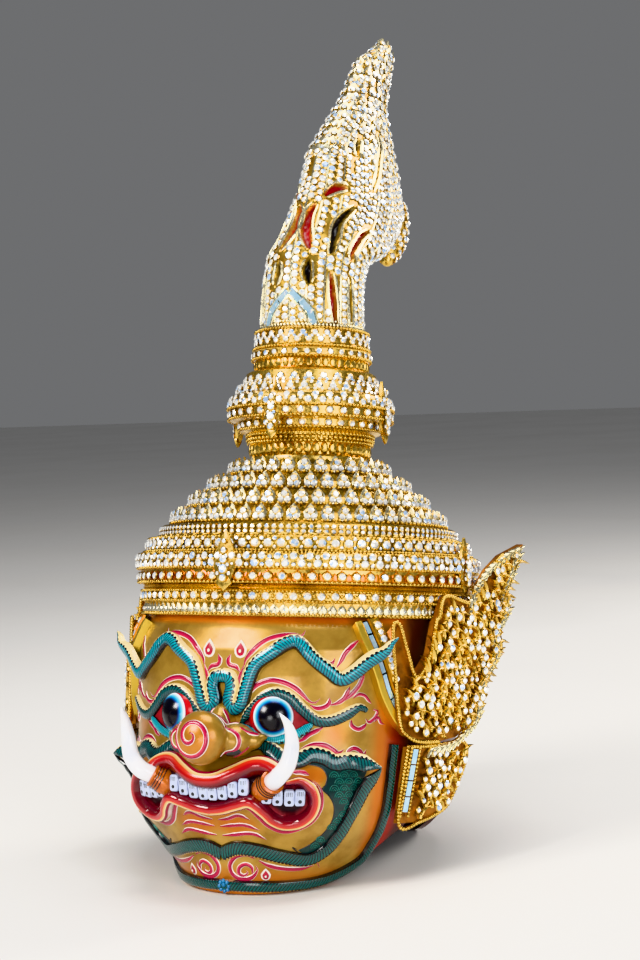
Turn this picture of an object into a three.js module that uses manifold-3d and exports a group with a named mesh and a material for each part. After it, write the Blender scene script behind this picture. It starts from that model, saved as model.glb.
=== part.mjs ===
// A crowned demon mask of the Thai masked dance, built up as a hollow helmet of lacquered
// papier-mache with moulded ornament. It stands on the chin and nape of its rim.
// All sizes are in millimetres. Inside the group "mask" X runs to the mask's left ear,
// -Y is the way the face looks and Z is up, with 0 at the chin. The whole group leans back
// until the chin and the nape lie on one level surface.
import * as THREE from "three";
import { mergeVertices } from "three/addons/utils/BufferGeometryUtils.js";
import Module from "manifold-3d";

const wasm = await Module();
wasm.setup();

// Fits
const FIT_GAP = 0.35;

// Head shell
const HEAD_HEIGHT = 190;
const HEAD_HALF_WIDTH = 110;
const HEAD_FRONT = 124;
const HEAD_BACK = 114;
const HEAD_WALL = 4.5;
const DOME_RISE = 100;
const NAPE_RISE = 34;
const RIM_ARCH = 40;

// Face
const MUZZLE_REACH = 21;
const CHEEK_LOBE = 8;
const EYE_RADIUS = 17;
const NOSE_RADIUS = 17.5;
const BROW_WIDTH = 9.5;
const BROW_RELIEF = 4.5;
const EYEBAND_WIDTH = 6;
const EYEBAND_RELIEF = 2.6;
const LIP_WIDTH = 11;
const LIP_RELIEF = 5.5;
const LOWER_LIP_WIDTH = 6;
const LOWER_LIP_RELIEF = 4;
const BEARD_WIDTH = 11;
const BEARD_RELIEF = 3;
const ROPE_WIDTH = 6.5;
const ROPE_RELIEF = 3.2;
const MOUTH_WIDTH = 12;
const MOUTH_DEPTH = 3.2;
const TUSK_RADIUS = 5.8;
const SOCKET_RADIUS = 7.4;
const TIP_LIFT = 19;

// Crown
const CROWN_OVERHANG = 17.5;
const BAND_HEIGHT = 44;
const BAND_WALL = 12.5;
const BOSS_WIDTH = 15;
const BOSS_THICKNESS = 7;
const STEP_HEIGHT = 21;
const LEAVES = 28;
const LEAF_HEIGHT = 12.3;
const LEAF_THICKNESS = 4;
const LEAF_TIERS = 4;
const TIER_RISE = 12.1;
const LOWEST_TIER_RADIUS = 101.5;
const TOP_TIER_RADIUS = 59.6;
const TIER_WALL = 5;
const BULB_RADIUS = 63;
const BULB_HEIGHT = 68.5;
const COLLAR_RADIUS = 45.4;
const COLLAR_HEIGHT = 30.2;

// Plume on the crown
const PLUME_HEIGHT = 252;
const PLUME_BASE_RADIUS = 37.5;
const PLUME_LEAN = 120;
const SLOT_WIDTH = 7;

// Ear ornaments
const EAR_THICKNESS = 7;
const STRAP_WIDTH = 21;
const STRAP_RELIEF = 6;
const PANEL_THICKNESS = 5;
const PANEL_TUCK = 0.18;
const EAR_CLEARANCE = 2.5;

const RADIANS = Math.PI / 180;

const COLOURS = {
  face: 0xc8962f,
  tusk: 0xf4f1ea,
  gilding: 0xd9b14a,
  jewels: 0xe9dfb4,
};

// Plain helpers for closed geometry and booleans

// Value of a curve given as rows of [place, value, ...], straight between the rows
function along(rows, place, column) {
  const last = rows.length - 1;
  if (place <= rows[0][0]) return rows[0][column];
  if (place >= rows[last][0]) return rows[last][column];
  const i = rows.findIndex((row) => row[0] >= place);
  const share = (place - rows[i - 1][0]) / (rows[i][0] - rows[i - 1][0]);
  return rows[i - 1][column] * (1 - share) + rows[i][column] * share;
}

// The same geometry with its faces turned to point outwards
function facingOut(geometry) {
  const p = geometry.getAttribute("position");
  const index = geometry.index.array;
  const [a, b, c] = [new THREE.Vector3(), new THREE.Vector3(), new THREE.Vector3()];
  let volume = 0;
  for (let i = 0; i < index.length; i += 3) {
    a.fromBufferAttribute(p, index[i]);
    b.fromBufferAttribute(p, index[i + 1]);
    c.fromBufferAttribute(p, index[i + 2]);
    volume += a.dot(b.cross(c));
  }
  if (volume < 0) geometry.setIndex(Array.from(index).reverse());
  return geometry;
}

// A closed skin over rings of points, with a fan to the middle at each end
function loft(rings, startMiddle, endMiddle) {
  const count = rings[0].length;
  const points = rings.flat();
  const middleOf = (ring) => ring.reduce((sum, p) => sum.add(p), new THREE.Vector3()).divideScalar(count);
  points.push(startMiddle ?? middleOf(rings[0]), endMiddle ?? middleOf(rings.at(-1)));
  const index = [];
  for (let i = 0; i < count; i++) {
    const next = (i + 1) % count;
    for (let r = 0; r + 1 < rings.length; r++) {
      const [low, high] = [r * count, (r + 1) * count];
      index.push(low + i, low + next, high + next, low + i, high + next, high + i);
    }
    const top = (rings.length - 1) * count;
    index.push(points.length - 2, next, i, points.length - 1, top + i, top + next);
  }
  return facingOut(new THREE.BufferGeometry().setFromPoints(points).setIndex(index));
}

function toSolid(geometry) {
  const bare = new THREE.BufferGeometry();
  bare.setAttribute("position", geometry.getAttribute("position"));
  if (geometry.index) bare.setIndex(geometry.index);
  const merged = mergeVertices(bare, 1e-4);
  return new wasm.Manifold(
    new wasm.Mesh({
      numProp: 3,
      vertProperties: new Float32Array(merged.attributes.position.array),
      triVerts: new Uint32Array(merged.index.array),
    }),
  );
}

function toGeometry(solid) {
  const mesh = solid.getMesh();
  const geometry = new THREE.BufferGeometry();
  geometry.setAttribute("position", new THREE.BufferAttribute(new Float32Array(mesh.vertProperties), 3));
  geometry.setIndex(new THREE.BufferAttribute(new Uint32Array(mesh.triVerts), 1));
  return geometry;
}

const joined = (geometries) => geometries.map(toSolid).reduce((whole, piece) => whole.add(piece));

function ball(x, y, z, rx, ry, rz) {
  return new THREE.SphereGeometry(1, 10, 6).scale(rx, rz, ry).rotateX(Math.PI / 2).translate(x, y, z);
}

// Head surface

const CROWN_RADIUS = HEAD_HALF_WIDTH + CROWN_OVERHANG;

// Share of the head's height from chin to crown, then half width and front as shares of
// their sizes, and how square the section is (2 is an ellipse)
const HEAD_LEVELS = [
  [0, 0.627, 0.903, 2.2],
  [0.053, 0.664, 0.927, 2.2],
  [0.116, 0.727, 0.952, 2.25],
  [0.174, 0.791, 0.968, 2.3],
  [0.237, 0.873, 0.976, 2.35],
  [0.321, 0.936, 0.984, 2.45],
  [0.421, 0.973, 0.992, 2.6],
  [0.526, 0.991, 0.996, 2.6],
  [0.789, 1, 1, 2.6],
  [0.884, 1.009, 0.992, 2.5],
  [0.958, 1.03, 0.955, 2.2],
];
// Share of the head's height, and the back as a share of its size
const BACK_LEVELS = [
  [0.179, 0.921],
  [0.316, 0.965],
  [0.579, 1],
  [0.958, 1],
];
const BAND_SEGMENTS = 36;
const HEAD_TOP_RADIUS = (CROWN_RADIUS - BAND_WALL) * Math.cos(Math.PI / BAND_SEGMENTS) - FIT_GAP;

// How far the muzzle and the puffed cheek beside the mouth stand out at x, z
function muzzle(x, z) {
  const centre = 0.4 * HEAD_HEIGHT;
  const reach = z > centre ? 0.105 * HEAD_HEIGHT : 0.142 * HEAD_HEIGHT;
  const side = (Math.abs(x) / (0.545 * HEAD_HALF_WIDTH)) ** 4;
  const lobeSide = (Math.abs(x) - 0.6 * HEAD_HALF_WIDTH) / (0.182 * HEAD_HALF_WIDTH);
  const lobeUp = (z - 0.326 * HEAD_HEIGHT) / (0.126 * HEAD_HEIGHT);
  return (
    MUZZLE_REACH * Math.exp(-(((z - centre) / reach) ** 2) - side) +
    CHEEK_LOBE * Math.exp(-(lobeSide ** 2) - lobeUp ** 2)
  );
}

// Distance of the head's outside from the crown's axis, at an angle from the face and a height
function headRadius(angle, z) {
  if (z > HEAD_HEIGHT) {
    const rise = Math.min((z - HEAD_HEIGHT) / DOME_RISE, 1);
    return HEAD_TOP_RADIUS * Math.sqrt(1 - rise * rise);
  }
  const share = z / HEAD_HEIGHT;
  const neck = Math.max(0, (share - 0.958) / (1 - 0.958));
  const blend = (size) => size * (1 - neck) + HEAD_TOP_RADIUS * neck;
  const front = Math.cos(angle) > 0;
  const width = blend(HEAD_HALF_WIDTH * along(HEAD_LEVELS, share, 1));
  const depth = blend(
    front ? HEAD_FRONT * along(HEAD_LEVELS, share, 2) : HEAD_BACK * along(BACK_LEVELS, share, 1),
  );
  const square = front ? along(HEAD_LEVELS, share, 3) * (1 - neck) + 2 * neck : 2.1 - 0.1 * neck;
  const x = Math.abs(Math.sin(angle)) / width;
  const y = Math.abs(Math.cos(angle)) / depth;
  const radius = (x ** square + y ** square) ** (-1 / square);
  return front ? radius + muzzle(radius * Math.sin(angle), z) : radius;
}

function headPoint(angle, z, lift = 0) {
  const at = (a, h) => {
    const r = headRadius(a, h);
    return new THREE.Vector3(r * Math.sin(a), -r * Math.cos(a), h);
  };
  const point = at(angle, z);
  if (lift) point.addScaledVector(headNormal(angle, z, at), lift);
  return point;
}

function headNormal(angle, z, at = headPoint) {
  const sideways = at(angle + 0.02, z).sub(at(angle - 0.02, z));
  const step = 0.008 * HEAD_HEIGHT;
  const upwards = at(angle, z + step).sub(at(angle, z - step));
  return sideways.cross(upwards).normalize();
}

// The rim lies in the plane through chin and nape, and arches up between them at each side
const CHIN_FRONT = headRadius(0, 0);
const NAPE_BACK = headRadius(Math.PI, NAPE_RISE);
const RIM_SLOPE = NAPE_RISE / (CHIN_FRONT + NAPE_BACK);
const LEAN = Math.atan(RIM_SLOPE);

function rimHeight(angle) {
  const turn = Math.abs(Math.atan2(Math.sin(angle), Math.cos(angle))) / RADIANS;
  const rise = THREE.MathUtils.smoothstep(turn, 33, 85) * (1 - THREE.MathUtils.smoothstep(turn, 100, 148));
  let z = 0;
  for (let i = 0; i < 16; i++) {
    z = RIM_SLOPE * (CHIN_FRONT - headRadius(angle, z) * Math.cos(angle)) + RIM_ARCH * rise;
  }
  return z;
}

// Angles of the head's columns, close together over the face
function headColumns(faceStep, backCount) {
  const reach = 75;
  const columns = [];
  for (let turn = -reach; turn < reach; turn += faceStep) columns.push(turn * RADIANS);
  for (let i = 0; i < backCount; i++) columns.push((reach + (i * (360 - 2 * reach)) / backCount) * RADIANS);
  return columns;
}

// Closed body of the head's outside, or of its hollow when inset, which reaches out below the rim
function headBody(columns, wallRows, domeRows, inset, below) {
  const rings = [];
  for (let r = 0; r <= wallRows; r++) {
    rings.push(
      columns.map((angle) => {
        const rim = rimHeight(angle) - below;
        const z = rim + ((HEAD_HEIGHT - rim) * r) / wallRows;
        const radius = headRadius(angle, Math.max(z, 0)) - inset;
        return new THREE.Vector3(radius * Math.sin(angle), -radius * Math.cos(angle), z);
      }),
    );
  }
  const rise = DOME_RISE - inset;
  for (let r = 1; r <= domeRows; r++) {
    const turn = (r / (domeRows + 1)) * (Math.PI / 2);
    const radius = (HEAD_TOP_RADIUS - inset) * Math.cos(turn);
    rings.push(
      columns.map(
        (angle) =>
          new THREE.Vector3(
            radius * Math.sin(angle),
            -radius * Math.cos(angle),
            HEAD_HEIGHT + rise * Math.sin(turn),
          ),
      ),
    );
  }
  const floor = new THREE.Vector3(0, 0, RIM_SLOPE * CHIN_FRONT - below);
  return loft(rings, floor, new THREE.Vector3(0, 0, HEAD_HEIGHT + rise));
}

// The way on the other side too, joined over the face's middle
function acrossFace(rows) {
  const other = rows.map(([turn, share, lift]) => [-turn, share, lift]).reverse();
  return [...other, ...(rows[0][0] === 0 ? rows.slice(1) : rows)];
}

// A raised or sunk bead along a way over the head, given as rows of
// [degrees from the face's middle, share of the head's height, share of TIP_LIFT off the head]
function bead(rows, width, relief, sink, steps, side = 1, endWidth = 0.35) {
  const way = new THREE.CatmullRomCurve3(
    rows.map(([turn, share, lift]) => new THREE.Vector3(side * turn, share * HEAD_HEIGHT, (lift ?? 0) * TIP_LIFT)),
    false,
    "centripetal",
  );
  const place = (t) => {
    const p = way.getPoint(t);
    return headPoint(p.x * RADIANS, p.y, p.z);
  };
  const rings = [];
  for (let i = 0; i <= steps; i++) {
    const t = i / steps;
    const p = way.getPoint(t);
    const ahead = place(Math.min(t + 0.01, 1)).sub(place(Math.max(t - 0.01, 0))).normalize();
    const up = headNormal(p.x * RADIANS, p.y);
    const across = ahead.clone().cross(up).normalize();
    const taper = Math.min(1, endWidth + (1 - endWidth) * 6 * Math.min(1 - t, t));
    const half = (width * taper) / 2;
    const outline = [
      [-half, -sink],
      [-0.5 * half, relief],
      [0.5 * half, relief],
      [half, -sink],
    ];
    rings.push(
      outline.map(([b, n]) => place(t).addScaledVector(across, b).addScaledVector(up, n)),
    );
  }
  return loft(rings);
}

// Ways over the face, from its middle outwards
const BROW_ARCH = [
  [0, 0.786],
  [2.6, 0.779],
  [3.4, 0.745],
  [2.7, 0.7],
  [4.2, 0.664],
];
const BROW = [
  [4.2, 0.664],
  [6.8, 0.69],
  [8.2, 0.74],
  [11.1, 0.825],
  [16.6, 0.873],
  [21.2, 0.905],
  [24.8, 0.905],
  [29.4, 0.852],
  [34.2, 0.808],
  [37.5, 0.782, 0.05],
  [41.3, 0.803, 0.16],
  [45.5, 0.846, 0.32],
  [49, 0.875, 0.58],
  [52.5, 0.908, 1],
];
const UPPER_LID = [
  [7.4, 0.621],
  [10.8, 0.674],
  [14.4, 0.716],
  [18.4, 0.73],
  [22.6, 0.713],
  [26.2, 0.673],
  [30.4, 0.636],
  [34.8, 0.635],
  [39.4, 0.656],
  [43.6, 0.682],
  [46.2, 0.672],
];
const LOWER_LID = [
  [7.6, 0.617],
  [12.8, 0.579],
  [17, 0.562],
  [22, 0.572],
  [26.4, 0.598],
  [30.2, 0.628],
];
const UPPER_LIP = [
  [0, 0.437],
  [3.2, 0.439],
  [8, 0.453],
  [12.2, 0.476],
  [15.6, 0.482],
  [18.6, 0.463],
  [20.6, 0.437],
];
const LOWER_LIP = [
  [0, 0.318],
  [4.2, 0.324],
  [9, 0.342],
  [12.8, 0.352],
  [16.2, 0.318],
  [20.4, 0.281],
  [25, 0.278],
  [28.7, 0.314],
  [29.8, 0.36],
  [28.6, 0.404],
  [25.2, 0.426],
  [21.8, 0.42],
];
const MOUTH = [
  [0, 0.379],
  [6, 0.385],
  [11, 0.397],
  [15, 0.382],
  [19, 0.36],
  [23, 0.348],
  [26.5, 0.358],
];
const BEARD_TOP = [
  [13.8, 0.543],
  [17.6, 0.523],
  [21.6, 0.492],
  [25.4, 0.496],
  [29, 0.515],
  [33, 0.507],
  [36.3, 0.482],
  [41, 0.488, 0.21],
  [47, 0.472, 1],
];
const BEARD_EDGE = [
  [0, 0.15],
  [5.7, 0.174],
  [12.6, 0.168],
  [19.5, 0.15],
  [28.5, 0.138],
  [35, 0.174],
  [38.5, 0.226],
  [41, 0.284],
  [43.5, 0.347, 0.05],
  [45.5, 0.41, 0.26],
  [47, 0.468, 0.95],
];
const JAW_ROPE = [
  [0, 0.029],
  [11, 0.029],
  [22, 0.034],
  [34, 0.05],
  [45, 0.084],
  [52.5, 0.135],
  [55.2, 0.21],
  [56.4, 0.308],
  [56.5, 0.421],
  [57.4, 0.545],
];
const SIDES = [-1, 1];
const bothSides = (make) => SIDES.map(make);

// The tusk's way: out of its socket, round and up in front of the cheek
function tuskPoint(side, x, y, z) {
  return new THREE.Vector3(side * x * HEAD_HALF_WIDTH, -y * HEAD_FRONT, z * HEAD_HEIGHT);
}

const tuskRoot = (side) => tuskPoint(side, 0.43, 1.12, 0.421);
const tuskAim = (side) => tuskPoint(side, 0.51, 1.155, 0.452).sub(tuskRoot(side)).normalize();

function socket(side) {
  const aim = tuskAim(side);
  const start = tuskRoot(side).addScaledVector(aim, -2 * SOCKET_RADIUS);
  return roundRod([start, tuskRoot(side)], () => SOCKET_RADIUS, 10, 1);
}

// The tusk itself, or with a gap of 0 and more radius the room that it needs
function tusk(side, gap = FIT_GAP, room = 0) {
  const aim = tuskAim(side);
  const way = [
    tuskRoot(side).addScaledVector(aim, gap),
    tuskRoot(side).addScaledVector(aim, 1.3 * TUSK_RADIUS),
    tuskPoint(side, 0.576, 1.165, 0.558),
    tuskPoint(side, 0.555, 1.265, 0.668),
  ];
  return roundRod(way, (t) => TUSK_RADIUS * (1 - t ** 3) * (1 - 0.12 * t) + 0.06 * TUSK_RADIUS + room, 8, 7);
}

// A rod of round section along a smooth way, its radius a function of the share along it
function roundRod(points, radiusAt, sides, steps) {
  const way = new THREE.CatmullRomCurve3(points, false, "centripetal");
  const rings = [];
  for (let i = 0; i <= steps; i++) {
    const t = i / steps;
    const middle = way.getPoint(t);
    const ahead = way.getTangent(t);
    const across = new THREE.Vector3(0, 0, 1).cross(ahead);
    if (across.length() < 0.2) across.set(0, 1, 0).cross(ahead);
    across.normalize();
    const up = ahead.clone().cross(across);
    const ring = [];
    for (let k = 0; k < sides; k++) {
      const turn = (k / sides) * 2 * Math.PI;
      const r = radiusAt(t);
      ring.push(
        middle
          .clone()
          .addScaledVector(across, r * Math.cos(turn))
          .addScaledVector(up, r * Math.sin(turn)),
      );
    }
    rings.push(ring);
  }
  return loft(rings);
}

// The hollow head with its moulded face
function maskHead() {
  const beadBothWays = (rows, ...sizes) => bothSides((side) => bead(rows, ...sizes, side));
  const nose = [
    ball(0, -1.234 * HEAD_FRONT, 0.571 * HEAD_HEIGHT, NOSE_RADIUS, 0.79 * NOSE_RADIUS, 1.03 * NOSE_RADIUS),
    ball(0, -0.984 * HEAD_FRONT, 0.595 * HEAD_HEIGHT, 0.65 * NOSE_RADIUS, 1.12 * NOSE_RADIUS, 1.3 * NOSE_RADIUS),
    ...bothSides((side) =>
      ball(
        side * 1.15 * NOSE_RADIUS,
        -1.09 * HEAD_FRONT,
        0.553 * HEAD_HEIGHT,
        0.64 * NOSE_RADIUS,
        0.95 * NOSE_RADIUS,
        0.58 * NOSE_RADIUS,
      ),
    ),
  ];
  const eyes = bothSides((side) =>
    ball(
      side * 0.314 * HEAD_HALF_WIDTH,
      -0.921 * HEAD_FRONT,
      0.645 * HEAD_HEIGHT,
      EYE_RADIUS,
      EYE_RADIUS,
      EYE_RADIUS,
    ),
  );
  const sink = 0.5 * HEAD_WALL;
  const relief = joined([
    ...nose,
    ...eyes,
    ...bothSides(socket),
    bead(acrossFace(BROW_ARCH), 0.6 * BROW_WIDTH, BROW_RELIEF, sink, 10),
    ...beadBothWays(BROW, BROW_WIDTH, BROW_RELIEF, sink, 13),
    ...beadBothWays(UPPER_LID, EYEBAND_WIDTH, EYEBAND_RELIEF, sink, 9),
    ...beadBothWays(LOWER_LID, EYEBAND_WIDTH, EYEBAND_RELIEF, sink, 5),
    bead(acrossFace(UPPER_LIP), LIP_WIDTH, LIP_RELIEF, sink, 10),
    bead(acrossFace(LOWER_LIP), LOWER_LIP_WIDTH, LOWER_LIP_RELIEF, sink, 18),
    ...beadBothWays(BEARD_TOP, BEARD_WIDTH, BEARD_RELIEF, sink, 8),
    bead(acrossFace(BEARD_EDGE), BEARD_WIDTH, BEARD_RELIEF, sink, 16),
    bead(acrossFace(JAW_ROPE), ROPE_WIDTH, ROPE_RELIEF, sink, 12),
  ]);
  const outside = toSolid(headBody(headColumns(10, 9), 10, 3, 0, 0));
  const mouth = toSolid(bead(acrossFace(MOUTH), MOUTH_WIDTH, 2 * HEAD_WALL, MOUTH_DEPTH, 10));
  const hollow = toSolid(headBody(headColumns(15, 8), 6, 2, HEAD_WALL, 2 * HEAD_WALL));
  const tuskRoom = joined(bothSides((side) => tusk(side, 0, FIT_GAP)));
  return toGeometry(outside.subtract(mouth).add(relief).subtract(hollow).subtract(tuskRoom));
}

// Crown

// A turned piece from rows of [radius, height above the crown's lower edge]
function turned(rows, segments) {
  const outline = [...rows, rows[0]].map(([r, z]) => new THREE.Vector2(r, z));
  return new THREE.LatheGeometry(outline, segments).rotateX(Math.PI / 2).translate(0, 0, HEAD_HEIGHT);
}

// A pointed boss on the crown at a turn from the face
function boss(turn, radius, low, high, width, thickness) {
  const half = width / 2;
  const middle = low + 0.6 * (high - low);
  const shape = new THREE.Shape([
    new THREE.Vector2(0, low),
    new THREE.Vector2(half, middle),
    new THREE.Vector2(0, high),
    new THREE.Vector2(-half, middle),
  ]);
  return new THREE.ExtrudeGeometry(shape, { depth: thickness, bevelEnabled: false })
    .rotateX(Math.PI / 2)
    .translate(0, -radius + 0.5 * thickness, HEAD_HEIGHT)
    .rotateZ(turn);
}

const bosses = (...sizes) => [0, 1, 2, 3].map((quarter) => boss((quarter * Math.PI) / 2, ...sizes));

function crownBand() {
  const r = CROWN_RADIUS;
  const h = BAND_HEIGHT;
  const w = BAND_WALL;
  const inner = r - w;
  const profile = [
    [inner, 0],
    [r - 0.59 * w, 0],
    [r - 0.64 * w, 0.22 * h],
    [r - 0.44 * w, 0.26 * h],
    [r - 0.44 * w, 0.38 * h],
    [r - 0.62 * w, 0.42 * h],
    [r - 0.6 * w, 0.5 * h],
    [r - 0.14 * w, 0.59 * h],
    [r, 0.78 * h],
    [r - 0.03 * w, 0.93 * h],
    [r - 0.24 * w, h],
    [inner, h],
  ];
  return toGeometry(
    joined([turned(profile, BAND_SEGMENTS), ...bosses(r - 0.16 * w, 0.5 * h, 1.36 * h, BOSS_WIDTH, BOSS_THICKNESS)]),
  );
}

const tierRadius = (tier) =>
  LOWEST_TIER_RADIUS - ((LOWEST_TIER_RADIUS - TOP_TIER_RADIUS) * tier) / (LEAF_TIERS - 1);
const tierFoot = (tier) => BAND_HEIGHT + STEP_HEIGHT + 0.08 * LEAF_HEIGHT + tier * TIER_RISE;

const TIERS_TOP = tierFoot(LEAF_TIERS - 1) + 0.75 * LEAF_HEIGHT;

// The stepped dome of the crown: two plain steps, then tiers edged with pointed leaves
function crownTiers() {
  const start = BAND_HEIGHT + FIT_GAP;
  const step = start + 0.52 * STEP_HEIGHT;
  const foot = BAND_HEIGHT + STEP_HEIGHT;
  const bandRadius = CROWN_RADIUS - 0.64 * BAND_WALL;
  const squares = 0.49 * bandRadius + 0.5 * LOWEST_TIER_RADIUS;
  // Rows of [radius, height of a leaf's point, height of the valley beside it]
  const rows = [
    [bandRadius, start, start],
    [bandRadius, step - 0.05 * STEP_HEIGHT, step - 0.05 * STEP_HEIGHT],
    [squares, step, step],
    [squares, foot, foot],
  ];
  for (let tier = 0; tier < LEAF_TIERS; tier++) {
    const z = tierFoot(tier);
    rows.push([tierRadius(tier), z, z]);
    rows.push([tierRadius(tier), z + LEAF_HEIGHT, z + 0.45 * LEAF_HEIGHT]);
  }
  rows.push([TOP_TIER_RADIUS - LEAF_THICKNESS, TIERS_TOP, TIERS_TOP]);
  const rings = rows.map(([r, point, valley]) =>
    [...Array(2 * LEAVES).keys()].map((i) => {
      const turn = (i * Math.PI) / LEAVES;
      const z = HEAD_HEIGHT + (i % 2 ? valley : point);
      return new THREE.Vector3(r * Math.sin(turn), -r * Math.cos(turn), z);
    }),
  );
  const hollow = [
    [0, start - TIER_WALL],
    [bandRadius - TIER_WALL, start - TIER_WALL],
    [bandRadius - TIER_WALL, start],
    [LOWEST_TIER_RADIUS - TIER_WALL, foot - 0.5 * TIER_WALL],
    [TOP_TIER_RADIUS - TIER_WALL, TIERS_TOP - TIER_WALL],
    [0, TIERS_TOP - TIER_WALL],
  ];
  return toGeometry(toSolid(loft(rings)).subtract(toSolid(turned(hollow, 24))));
}

function crownBulb() {
  const foot = TIERS_TOP + FIT_GAP;
  const r = BULB_RADIUS;
  const h = BULB_HEIGHT;
  const profile = [
    [0, 0],
    [0.68 * r, 0],
    [0.71 * r, 0.17 * h],
    [0.745 * r, 0.2 * h],
    [0.745 * r, 0.31 * h],
    [0.855 * r, 0.34 * h],
    [0.86 * r, 0.44 * h],
    [0.97 * r, 0.46 * h],
    [r, 0.6 * h],
    [0.89 * r, 0.84 * h],
    [0.8 * r, 0.87 * h],
    [0.79 * r, h],
    [0, h],
  ].map(([x, z]) => [x, foot + z]);
  return toGeometry(
    joined([turned(profile, 24), ...bosses(r, foot + 0.3 * h, foot + 0.95 * h, 0.6 * BOSS_WIDTH, 0.85 * BOSS_THICKNESS)]),
  );
}

const BULB_TOP = TIERS_TOP + FIT_GAP + BULB_HEIGHT;

function finialCollar() {
  const foot = BULB_TOP + FIT_GAP;
  const r = COLLAR_RADIUS;
  const h = COLLAR_HEIGHT;
  const profile = [
    [0, 0],
    [0.92 * r, 0],
    [0.92 * r, 0.27 * h],
    [r, 0.29 * h],
    [r, 0.46 * h],
    [0.95 * r, 0.5 * h],
    [0.96 * r, 0.58 * h],
    [0.93 * r, 0.62 * h],
    [0.93 * r, 0.96 * h],
    [0.86 * r, h],
    [0, h],
  ].map(([x, z]) => [x, foot + z]);
  return turned(profile, 24);
}

// Plume: share of its height, front and back edge as shares of its lean, half width share
const PLUME_LEVELS = [
  [0, -1, 1, 1],
  [0.1, -0.98, 0.97, 0.97],
  [0.155, -0.95, 1.02, 0.96],
  [0.23, -0.88, 1.34, 0.95],
  [0.28, -0.7, 2.35, 0.92],
  [0.35, -0.44, 3.05, 0.86],
  [0.43, -0.19, 3.55, 0.78],
  [0.5, 0, 3.5, 0.7],
  [0.56, 0.16, 3.33, 0.62],
  [0.65, 0.75, 3.08, 0.5],
  [0.765, 1.44, 2.88, 0.32],
  [0.82, 1.66, 3.05, 0.28],
  [0.88, 1.92, 3.22, 0.22],
  [0.945, 2.58, 3.38, 0.14],
  [1, 3.15, 3.25, 0.02],
];
const PLUME_FOOT = BULB_TOP + FIT_GAP + COLLAR_HEIGHT + FIT_GAP;

// A lens-shaped cutter along a way in the plume's middle plane, given as shares of lean and height
function slot(rows, width) {
  const way = new THREE.CatmullRomCurve3(rows.map(([y, z]) => new THREE.Vector3(0, y * PLUME_LEAN, z * PLUME_HEIGHT)));
  const left = [];
  const right = [];
  const steps = 3;
  for (let i = 0; i <= steps; i++) {
    const t = i / steps;
    const middle = way.getPoint(t);
    const ahead = way.getTangent(t);
    const half = 0.5 * width * Math.sqrt(Math.sin(Math.PI * Math.min(Math.max(t, 0.02), 0.98)));
    left.push(new THREE.Vector2(middle.y - ahead.z * half, middle.z + ahead.y * half));
    right.unshift(new THREE.Vector2(middle.y + ahead.z * half, middle.z - ahead.y * half));
  }
  const depth = 4 * PLUME_BASE_RADIUS;
  return new THREE.ExtrudeGeometry(new THREE.Shape([...left, ...right]), { depth, bevelEnabled: false })
    .applyMatrix4(
      new THREE.Matrix4().makeBasis(
        new THREE.Vector3(0, 1, 0),
        new THREE.Vector3(0, 0, 1),
        new THREE.Vector3(1, 0, 0),
      ),
    )
    .translate(-0.5 * depth, 0, HEAD_HEIGHT + PLUME_FOOT);
}

const PLUME_SLOTS = [
  [[[-0.11, 0.385], [-0.17, 0.32], [-0.19, 0.25]], 0.85],
  [[[-0.11, 0.405], [0.02, 0.44], [0.2, 0.46]], 0.7],
  [[[0.2, 0.39], [0.13, 0.32], [-0.05, 0.22]], 1.15],
  [[[0.45, 0.36], [0.36, 0.29], [0.2, 0.22]], 1],
  [[[-0.08, 0.16], [-0.05, 0.1], [-0.02, 0.04]], 0.75],
  [[[0.16, 0.15], [0.18, 0.09], [0.19, 0.03]], 0.6],
  [[[0.47, 0.64], [0.45, 0.61], [0.45, 0.57]], 0.75],
  [[[0.77, 0.67], [0.77, 0.61], [0.79, 0.56]], 0.55],
];

function plume() {
  const sides = 12;
  const foot = HEAD_HEIGHT + PLUME_FOOT;
  const unit = PLUME_BASE_RADIUS;
  const leaning = PLUME_LEAN / (3.2 * unit);
  const rings = PLUME_LEVELS.map(([share, front, back, width]) => {
    const ring = [];
    const shift = (edge) => edge * unit * (Math.abs(edge) > 1 ? leaning : 1);
    const middle = 0.5 * (shift(front) + shift(back));
    const half = 0.5 * (shift(back) - shift(front));
    for (let k = 0; k < sides; k++) {
      const turn = (k / sides) * 2 * Math.PI;
      ring.push(
        new THREE.Vector3(
          width * unit * Math.sin(turn),
          middle - half * Math.cos(turn),
          foot + share * PLUME_HEIGHT,
        ),
      );
    }
    return ring;
  });
  const at = (y, z) => new THREE.Vector3(0, y * PLUME_LEAN, foot + z * PLUME_HEIGHT);
  const hook = roundRod(
    [at(0.83, 0.52), at(1.07, 0.45), at(1.14, 0.37), at(1.09, 0.3)],
    (t) => unit * (0.5 - 0.3 * t ** 4),
    9,
    6,
  );
  const slots = joined(PLUME_SLOTS.map(([way, width]) => slot(way, width * SLOT_WIDTH)));
  return toGeometry(joined([loft(rings), hook]).subtract(slots));
}

// Ear ornaments

// Outer face of the ornament: distance from the middle plane at y, z, given as shares of the
// head's half width and height. It curls in to the head in front and swells out behind.
function earFace(y, z) {
  const curl = 0.825 * Math.min(y + 0.364, 0) ** 2;
  const flare = 0.143 * Math.max(y, 0) ** 2;
  const tuck = PANEL_TUCK * HEAD_HEIGHT * Math.max(0.553 - z, 0);
  return CROWN_RADIUS + EAR_CLEARANCE + (0.22 * y - curl + flare) * HEAD_HALF_WIDTH - tuck;
}

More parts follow.
